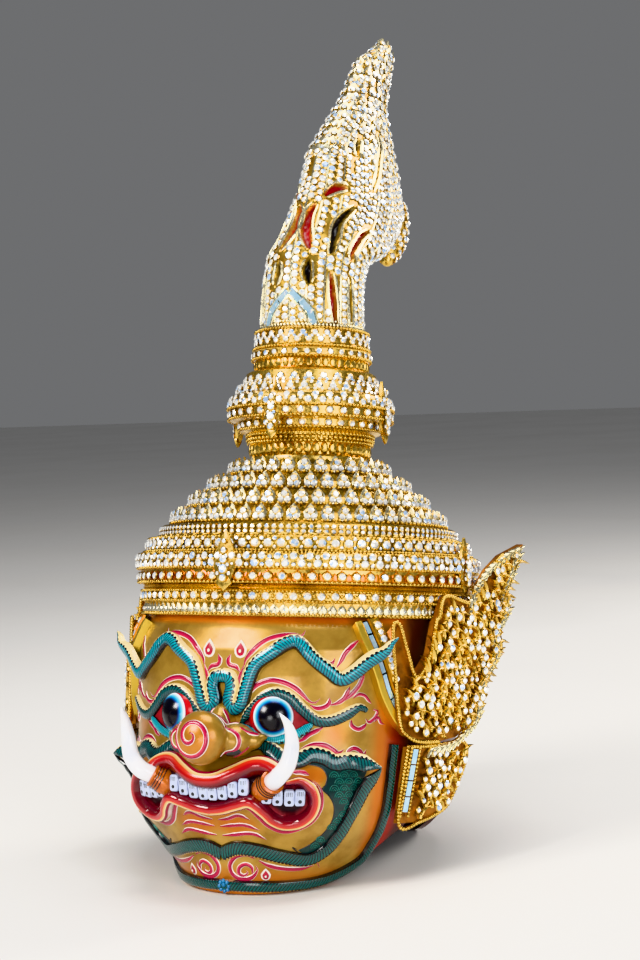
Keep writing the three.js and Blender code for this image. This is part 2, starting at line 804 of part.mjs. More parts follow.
// A plate between the ornament's face and its back, from an outline of [y, z] shares
function earPlate(corners, holes, thickness) {
  const toVectors = (rows) => rows.map(([y, z]) => new THREE.Vector2(y, z));
  const shape = new THREE.Shape(toVectors(corners));
  shape.holes = holes.map((hole) => new THREE.Path(toVectors(hole)));
  const flat = new THREE.ExtrudeGeometry(shape, { depth: thickness, bevelEnabled: false });
  const p = flat.getAttribute("position");
  for (let i = 0; i < p.count; i++) {
    const [y, z, depth] = [p.getX(i), p.getY(i), p.getZ(i)];
    p.setXYZ(i, earFace(y, z) - thickness + depth, y * HEAD_HALF_WIDTH, z * HEAD_HEIGHT);
  }
  return flat;
}

// Outline of the flame-shaped upper ornament, from the strap round the back to the tip
const EAR_OUTLINE = [
  [-0.636, 0.642],
  [-0.582, 0.579],
  [-0.491, 0.558],
  [-0.327, 0.555],
  [-0.136, 0.568],
  [0, 0.611],
  [0.136, 0.663],
  [0.2, 0.789],
  [0.345, 0.905],
  [0.318, 0.968],
  [0.436, 1.068],
  [0.391, 1.111],
  [0.464, 1.2],
  [0.527, 1.295],
  [0.327, 1.247],
  [0.191, 1.189],
  [0.091, 1.121],
  [0.073, 1.074],
  [-0.036, 1.063],
  [-0.273, 1.084],
  [-0.327, 1.011],
  [-0.364, 0.989],
  [-0.418, 0.874],
  [-0.527, 0.789],
  [-0.6, 0.895],
  [-0.645, 0.979],
  [-0.682, 0.947],
];
const EAR_HOLE = [
  [-0.436, 0.774],
  [-0.418, 0.726],
  [-0.482, 0.747],
];
const STRAP = [
  [49.5, 0.97],
  [52, 0.9],
  [55, 0.81],
  [58, 0.73],
  [62, 0.66],
  [67, 0.61],
];
const PANEL_OUTLINE = [
  [-0.573, 0.539],
  [-0.309, 0.542],
  [-0.055, 0.547],
  [0.009, 0.489],
  [-0.027, 0.411],
  [-0.073, 0.347],
  [-0.145, 0.3],
  [-0.373, 0.263],
  [-0.545, 0.263],
];

// Room that the crown's band takes behind the ornament
function bandRoom() {
  const low = CROWN_RADIUS - 0.44 * BAND_WALL + 2 * FIT_GAP;
  const high = CROWN_RADIUS + 2 * FIT_GAP;
  const profile = [
    [0, -FIT_GAP],
    [low, -FIT_GAP],
    [low, 0.45 * BAND_HEIGHT],
    [high, 0.54 * BAND_HEIGHT],
    [high, 2 * BAND_HEIGHT],
    [0, 2 * BAND_HEIGHT],
  ];
  return toSolid(turned(profile, BAND_SEGMENTS));
}

function earOrnament() {
  const strap = bead(STRAP, STRAP_WIDTH, STRAP_RELIEF, -FIT_GAP, 6, 1, 0.8);
  const plate = earPlate(EAR_OUTLINE, [EAR_HOLE], EAR_THICKNESS);
  return toGeometry(joined([plate, strap]).subtract(bandRoom()));
}

function earPanel() {
  return earPlate(PANEL_OUTLINE, [], PANEL_THICKNESS);
}

// Scene graph

function piece(name, geometry, colour, roughness, metalness) {
  geometry.computeVertexNormals();
  const material = new THREE.MeshStandardMaterial({ color: colour, roughness, metalness });
  const mesh = new THREE.Mesh(geometry, material);
  mesh.name = name;
  return mesh;
}

const mask = new THREE.Group();
mask.add(piece("mask_head", maskHead(), COLOURS.face, 0.35, 0.6));
mask.add(piece("tusk_left", tusk(1), COLOURS.tusk, 0.25, 0));
mask.add(piece("tusk_right", tusk(-1), COLOURS.tusk, 0.25, 0));
mask.add(piece("crown_band", crownBand(), COLOURS.jewels, 0.2, 0.8));
mask.add(piece("crown_tiers", crownTiers(), COLOURS.jewels, 0.2, 0.8));
mask.add(piece("crown_bulb", crownBulb(), COLOURS.gilding, 0.25, 0.9));
mask.add(piece("finial_collar", finialCollar(), COLOURS.jewels, 0.2, 0.8));
mask.add(piece("finial_plume", plume(), COLOURS.gilding, 0.25, 0.9));
for (const side of SIDES) {
  const ear = new THREE.Group();
  const hand = side > 0 ? "left" : "right";
  ear.add(piece("ear_ornament_" + hand, earOrnament(), COLOURS.gilding, 0.25, 0.9));
  ear.add(piece("ear_panel_" + hand, earPanel(), COLOURS.gilding, 0.25, 0.9));
  ear.scale.x = side;
  mask.add(ear);
}

// Lean back onto chin and nape, with the origin below the middle of the mask
mask.rotation.x = -LEAN;
mask.position.z = -CHIN_FRONT * Math.sin(LEAN);
const standing = new THREE.Group();
standing.add(mask);
standing.updateMatrixWorld(true);
const middle = new THREE.Box3().setFromObject(standing, true).getCenter(new THREE.Vector3());
mask.position.y = -middle.y;

export default standing;
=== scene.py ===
"""A crowned demon mask of the Thai masked dance: lacquered head, painted face and jewelled crown."""

import math
import random

import bpy
import numpy as np
from mathutils import Matrix, Vector
from mathutils.bvhtree import BVHTree


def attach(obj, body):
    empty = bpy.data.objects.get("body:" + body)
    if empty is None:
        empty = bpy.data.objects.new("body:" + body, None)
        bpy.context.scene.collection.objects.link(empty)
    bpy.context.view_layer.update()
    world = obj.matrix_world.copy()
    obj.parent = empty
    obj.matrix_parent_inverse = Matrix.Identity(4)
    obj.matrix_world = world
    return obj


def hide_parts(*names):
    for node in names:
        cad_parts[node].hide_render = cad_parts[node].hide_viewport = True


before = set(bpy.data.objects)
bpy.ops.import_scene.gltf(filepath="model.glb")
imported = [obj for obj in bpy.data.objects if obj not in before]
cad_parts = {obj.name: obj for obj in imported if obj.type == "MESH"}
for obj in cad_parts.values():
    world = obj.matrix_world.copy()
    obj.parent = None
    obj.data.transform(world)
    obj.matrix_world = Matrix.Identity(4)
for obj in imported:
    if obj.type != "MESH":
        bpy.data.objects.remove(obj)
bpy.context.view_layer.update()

# The mask is made upright in millimetres, chin at height 0 and the crown's axis through x = y = 0,
# and then leant back on its rim
MM = 0.001
LEAN = 0.15543711
AXIS_Y = -40.4169
DROP = -17.3358
STAND = (
    Matrix.Translation((0, AXIS_Y * MM, DROP * MM))
    @ Matrix.Rotation(-LEAN, 4, "X")
    @ Matrix.Scale(MM, 4)
)
HEAD_HEIGHT = 190.0
DOME_RISE = 100.0
NAPE_RISE = 34.0
RIM_ARCH = 40.0
RIM_LIFT = 0.72
HEAD_TOP_RADIUS = 115.0 * math.cos(math.pi / 36) - 0.35
WALL = 4.5

# Height, half width, front, and how square the section is
HEAD_LEVELS = np.array([
    (0.0, 69.0, 112.0, 2.2),
    (10.1, 73.0, 114.9, 2.2),
    (22.0, 80.0, 118.0, 2.25),
    (33.1, 87.0, 120.0, 2.3),
    (45.0, 96.0, 121.0, 2.35),
    (61.0, 103.0, 122.0, 2.45),
    (80.0, 107.0, 123.0, 2.6),
    (99.9, 109.0, 123.5, 2.6),
    (149.9, 110.0, 124.0, 2.6),
    (168.0, 111.0, 123.0, 2.5),
    (182.0, 113.3, 118.4, 2.2),
])
BACK_LEVELS = np.array([(34.0, 105.0), (60.0, 110.0), (110.0, 114.0), (182.0, 114.0)])


# ---- surfaces ----

def eased(low, high, value):
    t = np.clip((value - low) / (high - low), 0.0, 1.0)
    return t * t * (3 - 2 * t)


def muzzle(x, z):
    reach = np.where(z > 76.0, 19.95, 26.98)
    side = (np.abs(x) / 59.95) ** 4
    lobe = ((np.abs(x) - 66.0) / 20.0) ** 2 + ((z - 61.9) / 23.9) ** 2
    return 21.0 * np.exp(-(((z - 76.0) / reach) ** 2) - side) + 8.0 * np.exp(-lobe)


def head_radius(turn, z):
    """Distance of the head's outside from its axis, at a turn from the face and a height."""
    turn, z = np.broadcast_arrays(np.asarray(turn, float), np.asarray(z, float))
    low = np.clip(z, 0, HEAD_HEIGHT)
    neck = np.clip((low - 182.0) / 8.0, 0, 1)
    front = np.cos(turn) > 0
    width = np.interp(low, HEAD_LEVELS[:, 0], HEAD_LEVELS[:, 1]) * (1 - neck) + HEAD_TOP_RADIUS * neck
    ahead = np.interp(low, HEAD_LEVELS[:, 0], HEAD_LEVELS[:, 2])
    behind = np.interp(low, BACK_LEVELS[:, 0], BACK_LEVELS[:, 1])
    depth = np.where(front, ahead, behind) * (1 - neck) + HEAD_TOP_RADIUS * neck
    square = np.interp(low, HEAD_LEVELS[:, 0], HEAD_LEVELS[:, 3]) * (1 - neck) + 2 * neck
    square = np.where(front, square, 2.1 - 0.1 * neck)
    radius = (
        (np.abs(np.sin(turn)) / width) ** square + (np.abs(np.cos(turn)) / depth) ** square
    ) ** (-1 / square)
    radius = radius + np.where(front, muzzle(radius * np.sin(turn), low), 0)
    rise = np.clip((z - HEAD_HEIGHT) / DOME_RISE, 0, 1)
    return np.where(z > HEAD_HEIGHT, HEAD_TOP_RADIUS * np.sqrt(1 - rise * rise), radius)


def on_head(turn, z):
    r = head_radius(turn, z)
    return np.stack([r * np.sin(turn), -r * np.cos(turn), np.asarray(z, float) + 0 * r], -1)


def unit(v):
    return v / np.maximum(np.linalg.norm(v, axis=-1, keepdims=True), 1e-9)


def head_normal(turn, z):
    sideways = on_head(turn + 0.02, z) - on_head(turn - 0.02, z)
    upwards = on_head(turn, z + 1.5) - on_head(turn, z - 1.5)
    return unit(np.cross(sideways, upwards))


def length_along(line):
    return np.concatenate([[0], np.cumsum(np.linalg.norm(np.diff(line, axis=0), axis=1))])


def smooth_way(points, steps):
    """Points on a smooth curve through the given ones, evenly spaced."""
    p = np.array(points, float)
    ends = np.vstack([2 * p[0] - p[1], p, 2 * p[-1] - p[-2]])
    t = np.linspace(0, 1, 24, endpoint=False)[:, None]
    fine = [
        0.5 * (2 * b + (c - a) * t + (2 * a - 5 * b + 4 * c - d) * t**2 + (3 * b - a - 3 * c + d) * t**3)
        for a, b, c, d in zip(ends[:-3], ends[1:-2], ends[2:-1], ends[3:])
    ]
    fine = np.vstack(fine + [p[-1:]])
    run = length_along(fine)
    at = np.linspace(0, run[-1], steps + 1)
    return np.stack([np.interp(at, run, fine[:, k]) for k in range(p.shape[1])], 1)


# ---- meshes ----

UP = np.array([0.0, 0.0, 1.0])


class Form:
    """Points in millimetres with faces and a UV for each point, gathered before they become a piece."""

    def __init__(self):
        self.points, self.faces, self.uvs, self.count = [], [], [], 0

    def add(self, points, faces, uvs=None, mirror=False):
        points = np.asarray(points, float).reshape(-1, 3)
        self.points.append(points)
        self.uvs.append(np.zeros((len(points), 2)) if uvs is None else np.asarray(uvs, float).reshape(-1, 2))
        self.faces += [tuple(int(i) + self.count for i in face) for face in faces]
        self.count += len(points)
        if mirror:
            self.add(points * (-1, 1, 1), [face[::-1] for face in faces], uvs)


def sheet_faces(rows, columns, closed=False):
    faces = []
    for row in range(0, (rows - 1) * columns, columns):
        for a in range(columns if closed else columns - 1):
            b = (a + 1) % columns
            faces.append((row + a, row + b, row + columns + b, row + columns + a))
    return faces


def body_faces(rows, columns):
    """Faces of a solid that is drawn ring by ring, with a cap at each end."""
    last = (rows - 1) * columns
    caps = [tuple(range(columns))[::-1], tuple(range(last, last + columns))]
    return sheet_faces(rows, columns, True) + caps


def ring(centre, across, up, radius, count):
    turn = np.linspace(0, 2 * math.pi, count, endpoint=False)[:, None]
    return centre + radius * (np.cos(turn) * across + np.sin(turn) * up)


def square_to(out):
    """Directions across and up a surface that faces out."""
    across = unit(np.cross(UP, out))
    return across, np.cross(out, across)


def active():
    return bpy.context.view_layer.objects.active


def edit(select="SELECT"):
    bpy.ops.object.mode_set(mode="EDIT")
    bpy.ops.mesh.select_all(action=select)


def end_edit():
    bpy.ops.object.mode_set(mode="OBJECT")


def deselect():
    bpy.ops.object.select_all(action="DESELECT")


def piece(name, form, material, replaces=(), smooth=40, recalc=True):
    """Makes the gathered form an object that rides on the mask."""
    mesh = bpy.data.meshes.new(name)
    mesh.from_pydata(np.vstack(form.points).tolist(), [], form.faces)
    corners = np.zeros(len(mesh.loops), np.int32)
    mesh.loops.foreach_get("vertex_index", corners)
    uvs = np.vstack(form.uvs)[corners].astype(np.float32)
    mesh.uv_layers.new(name="UVMap").data.foreach_set("uv", uvs.ravel())
    obj = bpy.data.objects.new(name, mesh)
    bpy.context.scene.collection.objects.link(obj)
    return dress(obj, material, replaces, smooth, recalc)


def dress(obj, material, replaces=(), smooth=40, recalc=True):
    obj.data.transform(STAND)
    deselect()
    bpy.context.view_layer.objects.active = obj
    obj.select_set(True)
    if recalc:
        edit()
        bpy.ops.mesh.normals_make_consistent(inside=False)
        end_edit()
    bpy.ops.object.shade_smooth_by_angle(angle=math.radians(smooth))
    obj.data.materials.clear()
    obj.data.materials.append(material)
    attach(obj, "root")
    if replaces:
        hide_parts(*replaces)
    return obj


def mark(obj, **marks):
    """Gives every point of a piece the values that its paint reads by name."""
    for label, values in marks.items():
        layer = obj.data.attributes.new(label, "FLOAT", "POINT")
        layer.data.foreach_set("value", values.astype(np.float32))


def mesh_of(obj):
    points = np.array([v.co[:] for v in obj.data.vertices])
    return points, [tuple(p.vertices) for p in obj.data.polygons]


def pattern(build):
    """Points and faces of a small form that bpy.ops builds once and that is then copied."""
    deselect()
    build()
    obj = active()
    shape = mesh_of(obj)
    bpy.data.objects.remove(obj)
    return shape


def copies(form, shape, places):
    """Adds a copy of the shape at each place: (point, across, up, out, size along those three)."""
    points, faces = shape
    for point, across, up, out, size in places:
        axes = np.array([across, up, out]) * np.array(size)[:, None]
        form.add(points @ axes + point, faces)


def gem_shape():
    """A faceted stone: a flat table, eight crown facets and a straight girdle."""
    bpy.ops.mesh.primitive_cylinder_add(vertices=8, radius=1, depth=0.5, location=(0, 0, 0))
    edit("DESELECT")
    end_edit()
    for face in active().data.polygons:
        face.select = face.normal.z > 0.5
    bpy.ops.object.mode_set(mode="EDIT")
    bpy.ops.mesh.select_mode(type="FACE")
    bpy.ops.mesh.extrude_region_move(TRANSFORM_OT_translate={"value": (0, 0, 0.42)})
    bpy.ops.transform.resize(value=(0.55, 0.55, 1))
    end_edit()


def setting_shape():
    """The ring of metal that holds a stone."""
    bpy.ops.mesh.primitive_torus_add(
        major_segments=8, minor_segments=3, major_radius=1.1, minor_radius=0.24, location=(0, 0, 0.02)
    )


def leaf_shape():
    """A pointed leaf with a ridge down its middle, one unit high from its foot."""
    bpy.ops.mesh.primitive_circle_add(vertices=12, radius=1, fill_type="TRIFAN")
    for v in active().data.vertices:
        x, y = v.co.x, v.co.y
        side = 0.5 * (1 - y) ** 0.8 if y > 0 else 0.5 * (1 - 0.35 * y * y)
        v.co = (math.copysign(side * min(1.0, abs(x) * 1.6), x) if abs(x) > 0.01 else 0.0, 0.5 + 0.5 * y, 0.0)
        if abs(x) < 0.01 and abs(y) < 0.01:
            v.co = (0, 0.42, 0.22)
    edit()
    bpy.ops.mesh.extrude_region_move(TRANSFORM_OT_translate={"value": (0, 0, -0.22)})
    end_edit()


def tooth_shape():
    """A rounded front tooth, a unit wide, high and deep."""
    bpy.ops.mesh.primitive_cube_add(size=1)
    round_off = active().modifiers.new("round", "BEVEL")
    round_off.width, round_off.segments = 0.22, 3
    bpy.ops.object.modifier_apply(modifier="round")


GEM, SETTING, LEAF, TOOTH_SHAPE = map(pattern, (gem_shape, setting_shape, leaf_shape, tooth_shape))
SEED = pattern(lambda: bpy.ops.mesh.primitive_uv_sphere_add(segments=7, ring_count=4, radius=1))
TILE = pattern(lambda: bpy.ops.mesh.primitive_cube_add(size=1))


def turned(name, rows, material, segments, replaces):
    """A spun metal part: a circle drawn out ring by ring through (radius, height above the crown's foot)."""
    deselect()
    radius, foot = rows[0]
    bpy.ops.mesh.primitive_circle_add(vertices=segments, radius=radius, location=(0, 0, HEAD_HEIGHT + foot))
    metal = active()
    metal.name = name
    edit()
    for (r0, z0), (r1, z1) in zip(rows, rows[1:]):
        bpy.ops.mesh.extrude_edges_move(TRANSFORM_OT_translate={"value": (0, 0, z1 - z0)})
        bpy.ops.transform.resize(value=(r1 / r0, r1 / r0, 1))
    bpy.ops.mesh.select_mode(type="EDGE")
    bpy.ops.mesh.select_all(action="DESELECT")
    bpy.ops.mesh.select_non_manifold()
    if radius > 1:
        bpy.ops.mesh.bridge_edge_loops()
    else:
        bpy.ops.mesh.fill_holes(sides=0)
    end_edit()
    metal.data.transform(metal.matrix_basis)
    metal.matrix_basis = Matrix()
    dress(metal, material, replaces, smooth=28)


def askew(up, out, amount):
    """The directions of a stone that was set a little askew by hand."""
    tip = unit(out + np.array([random.uniform(-1, 1) for _ in range(3)]) * amount)
    rise = unit(up - tip * np.dot(up, tip))
    return np.cross(rise, tip), rise, tip


def ring_places(radius, z, count, size, lean=0.0, phase=0.0, jitter=0.0):
    """Places round the crown, facing out and leaning back by that many degrees."""
    c, s = math.cos(math.radians(lean)), math.sin(math.radians(lean))
    places = []
    for turn in (np.arange(count) + phase) * 2 * math.pi / count:
        out = np.array([math.sin(turn), -math.cos(turn), 0.0])
        axes = np.array([math.cos(turn), math.sin(turn), 0.0]), UP * c - out * s, out * c + UP * s
        if jitter:
            axes = askew(*axes[1:], jitter)
        places.append((out * radius + UP * (HEAD_HEIGHT + z), *axes, size))
    return places


# ---- face ----

# Millimetres over the face for each degree round it
DEGREE_WIDTH = 2.3


def rim_height(turn):
    chin = float(head_radius(0.0, 0.0))
    slope = NAPE_RISE / (chin + float(head_radius(math.pi, NAPE_RISE)))
    around = np.degrees(np.abs(np.arctan2(np.sin(turn), np.cos(turn))))
    rise = eased(33, 85, around) * (1 - eased(100, 148, around))
    z = np.zeros_like(turn)
    for _ in range(16):
        z = slope * (chin - head_radius(turn, z) * np.cos(turn)) + RIM_ARCH * rise
    return z + RIM_LIFT


MOUTH_EDGE = [
    (0, 79), (4, 80), (8, 84), (12.2, 88.6), (15.6, 89.6), (18.6, 87), (21.5, 81), (25.2, 80.6),
    (28.6, 76.8), (29.8, 68.4), (28.7, 59.7), (25, 53.4), (20.4, 53.8), (16.2, 60.4), (12.8, 66), (9, 64.6),
    (4.2, 61.8), (0, 60.6),
]
MOUTH_EDGE += [(-a, h) for a, h in MOUTH_EDGE[-2:0:-1]]


def depth_in(outline, x, z):
    """How far points lie inside an outline, negative outside it."""
    inside, near = np.zeros(np.shape(x), bool), np.full(np.shape(x), 1e9)
    for (x0, z0), (x1, z1) in zip(outline, outline[1:] + outline[:1]):
        if z0 != z1:
            crosses = (z0 > z) != (z1 > z)
            inside ^= crosses & (x < (x1 - x0) * (z - z0) / (z1 - z0) + x0)
        t = np.clip(((x - x0) * (x1 - x0) + (z - z0) * (z1 - z0)) / ((x1 - x0) ** 2 + (z1 - z0) ** 2), 0, 1)
        near = np.minimum(near, np.hypot(x - x0 - t * (x1 - x0), z - z0 - t * (z1 - z0)))
    return np.where(inside, near, -near)


def mouth_depth(turn, z):
    outline = [(a * DEGREE_WIDTH, h) for a, h in MOUTH_EDGE]
    return depth_in(outline, np.degrees(turn) * DEGREE_WIDTH, z)


def head_shell():
    """The hollow head: a skin outside from the rim to the dome, a skin inside, and the rim between them."""
    turn = np.radians(np.concatenate([np.arange(-80, 80, 1.0), np.arange(80, 280, 2.5)]))
    count = len(turn)
    rim = rim_height(turn)
    ahead = np.stack([np.sin(turn), -np.cos(turn), 0 * turn], 1)
    outer, inner = [], []
    for t in np.linspace(0, 1, 126):
        z = rim + (HEAD_HEIGHT - rim) * t
        outer.append(on_head(turn, z) - ahead * (4.1 * eased(0.0, 4.0, mouth_depth(turn, z)))[:, None])
    for rise in np.linspace(0.06, 0.985, 22):
        outer.append(on_head(turn, np.full(count, HEAD_HEIGHT + DOME_RISE * math.sin(rise * math.pi / 2))))
    outer.append(np.tile(UP * (HEAD_HEIGHT + DOME_RISE), (count, 1)))
    for t in np.linspace(0, 1, 40):
        z = rim + (HEAD_HEIGHT - rim) * t
        p = on_head(turn, z)
        p[:, :2] *= 1 - (WALL / head_radius(turn, z))[:, None]
        inner.append(p)
    for rise in np.linspace(0.1, 0.96, 12):
        z = HEAD_HEIGHT + (DOME_RISE - WALL) * math.sin(rise * math.pi / 2)
        inner.append(ahead * (HEAD_TOP_RADIUS - WALL) * math.cos(rise * math.pi / 2) + UP * z)
    inner.append(np.tile(UP * (HEAD_HEIGHT + DOME_RISE - WALL), (count, 1)))
    form = Form()
    form.add(np.vstack(outer), sheet_faces(len(outer), count, True))
    form.add(np.vstack(inner), [face[::-1] for face in sheet_faces(len(inner), count, True)])
    base = len(outer) * count
    form.faces += [(c, base + c, base + (c + 1) % count, (c + 1) % count) for c in range(count)]
    return form


# Half outlines across a moulded line, from edge to edge: place across, and height
ROUND_LINE = [(-1, -0.5), (-0.86, 0.25), (-0.5, 0.8), (0, 1), (0.5, 0.8), (0.86, 0.25), (1, -0.5)]
BAND = [
    (-1, -0.5), (-0.97, 0.3), (-0.82, 0.78), (-0.45, 1), (0, 1.04), (0.45, 0.98), (0.82, 0.72), (0.97, 0.3),
    (1, -0.5),
]


def ridge(form, line, out, width, height, ends, taper, sink=0.6, section=ROUND_LINE, flip=False,
          low_ends=False, foot=False, mirror=False):
    """A moulded line through points in space with their outward directions, its UV along and across it."""
    across = unit(np.cross(unit(np.gradient(line, axis=0)), out))
    share = np.linspace(0, 1, len(line))
    size = np.minimum(1, np.minimum(*(e + (1 - e) * s / taper for e, s in zip(ends, (share, 1 - share)))))
    swell = np.minimum(1, size * 1.6) if low_ends else np.ones(len(line))
    run = length_along(line) * 0.01
    rows, uvs = [], []
    for b, n in section:
        rise = n * (sink + 0 * swell if n < 0 else height * swell)
        rows.append(line + across * (b * 0.5 * width * size)[:, None] + out * rise[:, None])
        uvs.append(np.stack([run, 0.5 + 0 * run + (-0.5 * b if flip else 0.5 * b)], 1))
    if foot:
        rows.append(line - out * sink)
        uvs.append(np.stack([run, 0.05 + 0 * run], 1))
    form.add(np.stack(rows, 1), sheet_faces(len(line), len(rows), foot), np.stack(uvs, 1), mirror)


def moulded(form, way, width, height, steps=60, ends=(0.15, 0.15), taper=0.12, sink=0.5, mirror=True, **more):
    """A moulded line along a way over the face, of (degrees, height) and the lift where it has one."""
    way = smooth_way([(*p, 0)[:3] for p in way], steps)
    turn, z, lift = np.radians(way[:, 0]), way[:, 1], way[:, 2]
    out = head_normal(turn, z)
    ridge(form, on_head(turn, z) + out * lift[:, None], out, width, height, ends, taper, sink,
          low_ends=True, foot=lift.max() > 0.5, mirror=mirror, **more)


def traced(form, spots, width, height, steps, ends=(0.3, 0.1), taper=0.12):
    """A moulded line through spots of (point, outward direction)."""
    way = smooth_way([(*point, *out) for point, out in spots], steps)
    ridge(form, way[:, :3], unit(way[:, 3:]), width, height, ends, taper)


def patch(form, inner, outer, rows=8, steps=60, lift=0.3):
    """A painted field between two ways over the face, on both sides."""
    a, b = smooth_way(inner, steps), smooth_way(outer, steps)
    way = np.vstack([a * (1 - t) + b * t for t in np.linspace(0, 1, rows)])
    turn, z = np.radians(way[:, 0]), way[:, 1]
    form.add(on_head(turn, z) + head_normal(turn, z) * lift, sheet_faces(rows, steps + 1),
             way * (0.021, 0.01), True)


BROW = [
    (0, 149.3), (2.6, 148), (3.4, 141.5), (2.6, 133), (4.0, 127), (6.6, 130), (8.2, 140.6), (11.1, 156.8),
    (16.6, 165.9), (21.2, 172), (24.8, 172), (29.4, 161.9), (34.2, 153.5), (37.5, 148.6, 0.8),
    (41.3, 152.6, 2.5), (45.5, 160.7, 6), (49, 166.3, 11), (52.5, 172.5, 18.5),
]
UPPER_LID = [
    (6.6, 117), (8.4, 122), (10.8, 128), (14.4, 136), (18.4, 138.7), (22.6, 135.5), (26.2, 127.9),
    (30.4, 120.8), (34.8, 120.6), (39.4, 124.6), (43.6, 129.6), (46.2, 127.7),
]
LOWER_LID = [(6.6, 117), (9.4, 112.8), (12.8, 110), (17, 106.8), (22, 108.7), (26.4, 113.6), (29.6, 119)]
UPPER_LIP = [
    (-21.6, 80), (-18.9, 87), (-15.6, 90), (-12.2, 89.2), (-8, 84.6), (-3.6, 80.4), (0, 79.4), (3.6, 80.4),
    (8, 84.6), (12.2, 89.2), (15.6, 90), (18.9, 87), (21.6, 80),
]
LOWER_LIP = [
    (0, 60), (4.2, 61.4), (8.8, 64.6), (12.4, 66.4), (15.6, 60.8), (18, 55), (21.5, 51.8), (26, 53.4),
    (29.2, 59.5), (30.2, 67.6), (29.1, 75.6), (26, 80.4), (22, 79.4),
]
BEARD_TOP = [
    (10, 99.5), (13.8, 103.2), (17.6, 99.4), (21.6, 93.5), (25.4, 94.2), (29, 97.9), (33, 96.3),
    (36.3, 92.6), (41, 93.6, 3), (47, 90.5, 17.5),
]
BEARD_EDGE = [
    (0, 28.5), (5.7, 33), (12.6, 31.9), (19.5, 28.5), (28.5, 26.2), (35, 33), (38.5, 42.9), (41, 54),
    (43.5, 66, 1), (45.5, 78, 5), (47, 89.5, 17),
]
JAW_ROPE = [
    (0, 6.8), (11, 6.8), (22, 7.6), (34, 10.5), (45, 17.2), (52.5, 25.6), (55.2, 39.9), (56.4, 58.5),
    (56.5, 80), (57.4, 104),
]
LOBE_EDGE = [
    (21.9, 86.8), (23.8, 89.6), (26.5, 91.2), (29.5, 91.2), (32.3, 88.9), (33.7, 83.4), (33.2, 77.9),
    (32.3, 75.2), (34.5, 70.2), (36, 63), (35.7, 53.5), (33.4, 44.6), (29.6, 37), (25.5, 32.5),
]
LOBE_CHIN = [
    (25.2, 33), (23.5, 34.6), (25.2, 30.4), (19.4, 32.9), (12.8, 36.2), (7.2, 37.2), (2.6, 34.5), (0, 32.6),
]
CRIMSON_LINES = [
    ([(7.2, 156.5), (8, 161.5), (11, 168.8), (13.6, 173.2), (16.3, 175.7), (19.7, 177.3), (23, 177.9),
      (25.4, 177.2), (26.6, 181)], 3.6),
    ([(25.9, 171.3), (27.8, 168.1), (30, 164.4), (32.3, 160.8), (34.6, 158.6), (35.9, 162.8)], 3.4),
    ([(36.3, 156.2), (37.8, 161.2), (39.2, 166.4), (41.7, 171.4), (44.7, 176)], 3.2),
    ([(5.8, 151.9), (4.4, 155.2), (2.2, 156.5), (1.5, 159.4), (2.3, 164)], 3.2),
    ([(7.2, 156.5), (6, 149.3), (5, 141), (3.4, 134.5)], 2.6),
    ([(4.8, 122.5), (6.2, 128.7), (8.3, 135.9), (11.1, 142.5), (14.2, 145.9), (16.9, 147), (20.6, 145.5),
      (23.8, 142.1), (26.1, 137.7), (28, 133.5), (29.8, 132.3), (31.6, 135.6)], 3.6),
    ([(28.4, 130.7), (30.6, 128.7), (32.8, 129.7), (34.1, 132.3), (34.2, 136.2)], 3.2),
    ([(34.4, 130.9), (36.7, 132.4), (38.6, 135.2), (39.8, 139.5), (40.7, 144)], 3.2),
    ([(38, 133.1), (41, 138.1), (43.4, 143.8), (44.5, 148.7), (45.6, 155)], 3.4),
    ([(41.6, 135.6), (43.4, 138.2), (45.6, 137.4), (47.2, 133.8), (48.3, 131.6)], 2.4),
    ([(48.8, 128.1), (50.4, 126.6), (49.4, 122.3), (47.3, 119.5), (46.1, 122)], 2.6),
    ([(49.4, 119.4), (50.7, 122.6), (51.8, 119.1), (53.6, 117.6)], 2.2),
    ([(41.2, 121.1), (41.5, 117.1), (43.7, 114.8), (45.8, 117), (46.4, 119.5)], 3.0),
    ([(24.4, 105.6), (26.2, 107.4), (28.2, 111), (30.4, 113.6), (32.9, 116.4)], 3.2),
    ([(25.8, 100.9), (27.6, 102.9), (30.1, 104.3), (33, 104), (35.3, 101.3), (37.2, 99),
      (39.2, 101.4)], 3.6),
    ([(39.6, 97.4), (40.5, 100.4), (42.4, 102), (44.4, 100), (45.5, 97), (46.6, 101)], 3.0),
    ([(1.2, 56.6), (4.8, 58), (8.3, 60.6), (11.3, 62), (14.1, 56), (16.8, 49.6), (21.1, 45.9), (25.8, 48.4),
      (29.8, 54.4), (31.9, 64.7), (31.8, 75), (29.6, 81.6)], 3.8),
    ([(28.4, 84.8), (26, 86.4), (23.2, 86)], 3.2),
    ([(1, 52.3), (4.4, 53.6), (8.1, 56.3), (11.4, 53.4)], 2.8),
    ([(1, 47.6), (5.8, 49), (9.6, 49.4), (13.8, 46.2)], 2.8),
    ([(1, 41.2), (5.6, 42.4), (9.9, 43.7), (12.5, 43), (15.6, 39.6)], 2.8),
    ([(44.6, 68), (43, 60), (41.9, 52), (40.4, 43.6), (38, 35.6), (34.8, 28.4), (32.4, 24.4),
      (33.4, 19.4)], 3.2),
    ([(11.2, 26.2), (8.2, 28.2), (4.5, 26.4), (2.3, 20.6), (2.9, 14.8), (5.6, 11.6), (9.3, 12.6),
      (11.6, 17.6), (11.2, 21.8)], 3.2),
    ([(10, 15.4), (9.9, 20), (7.9, 22), (5.7, 19.6), (5.3, 15.6), (6.8, 14), (8.3, 15.9),
      (7.8, 17.8)], 2.8),
    ([(12.4, 25), (15.7, 21.6), (20.5, 19.6), (26.3, 19.4), (31.4, 21.6)], 3.2),
]
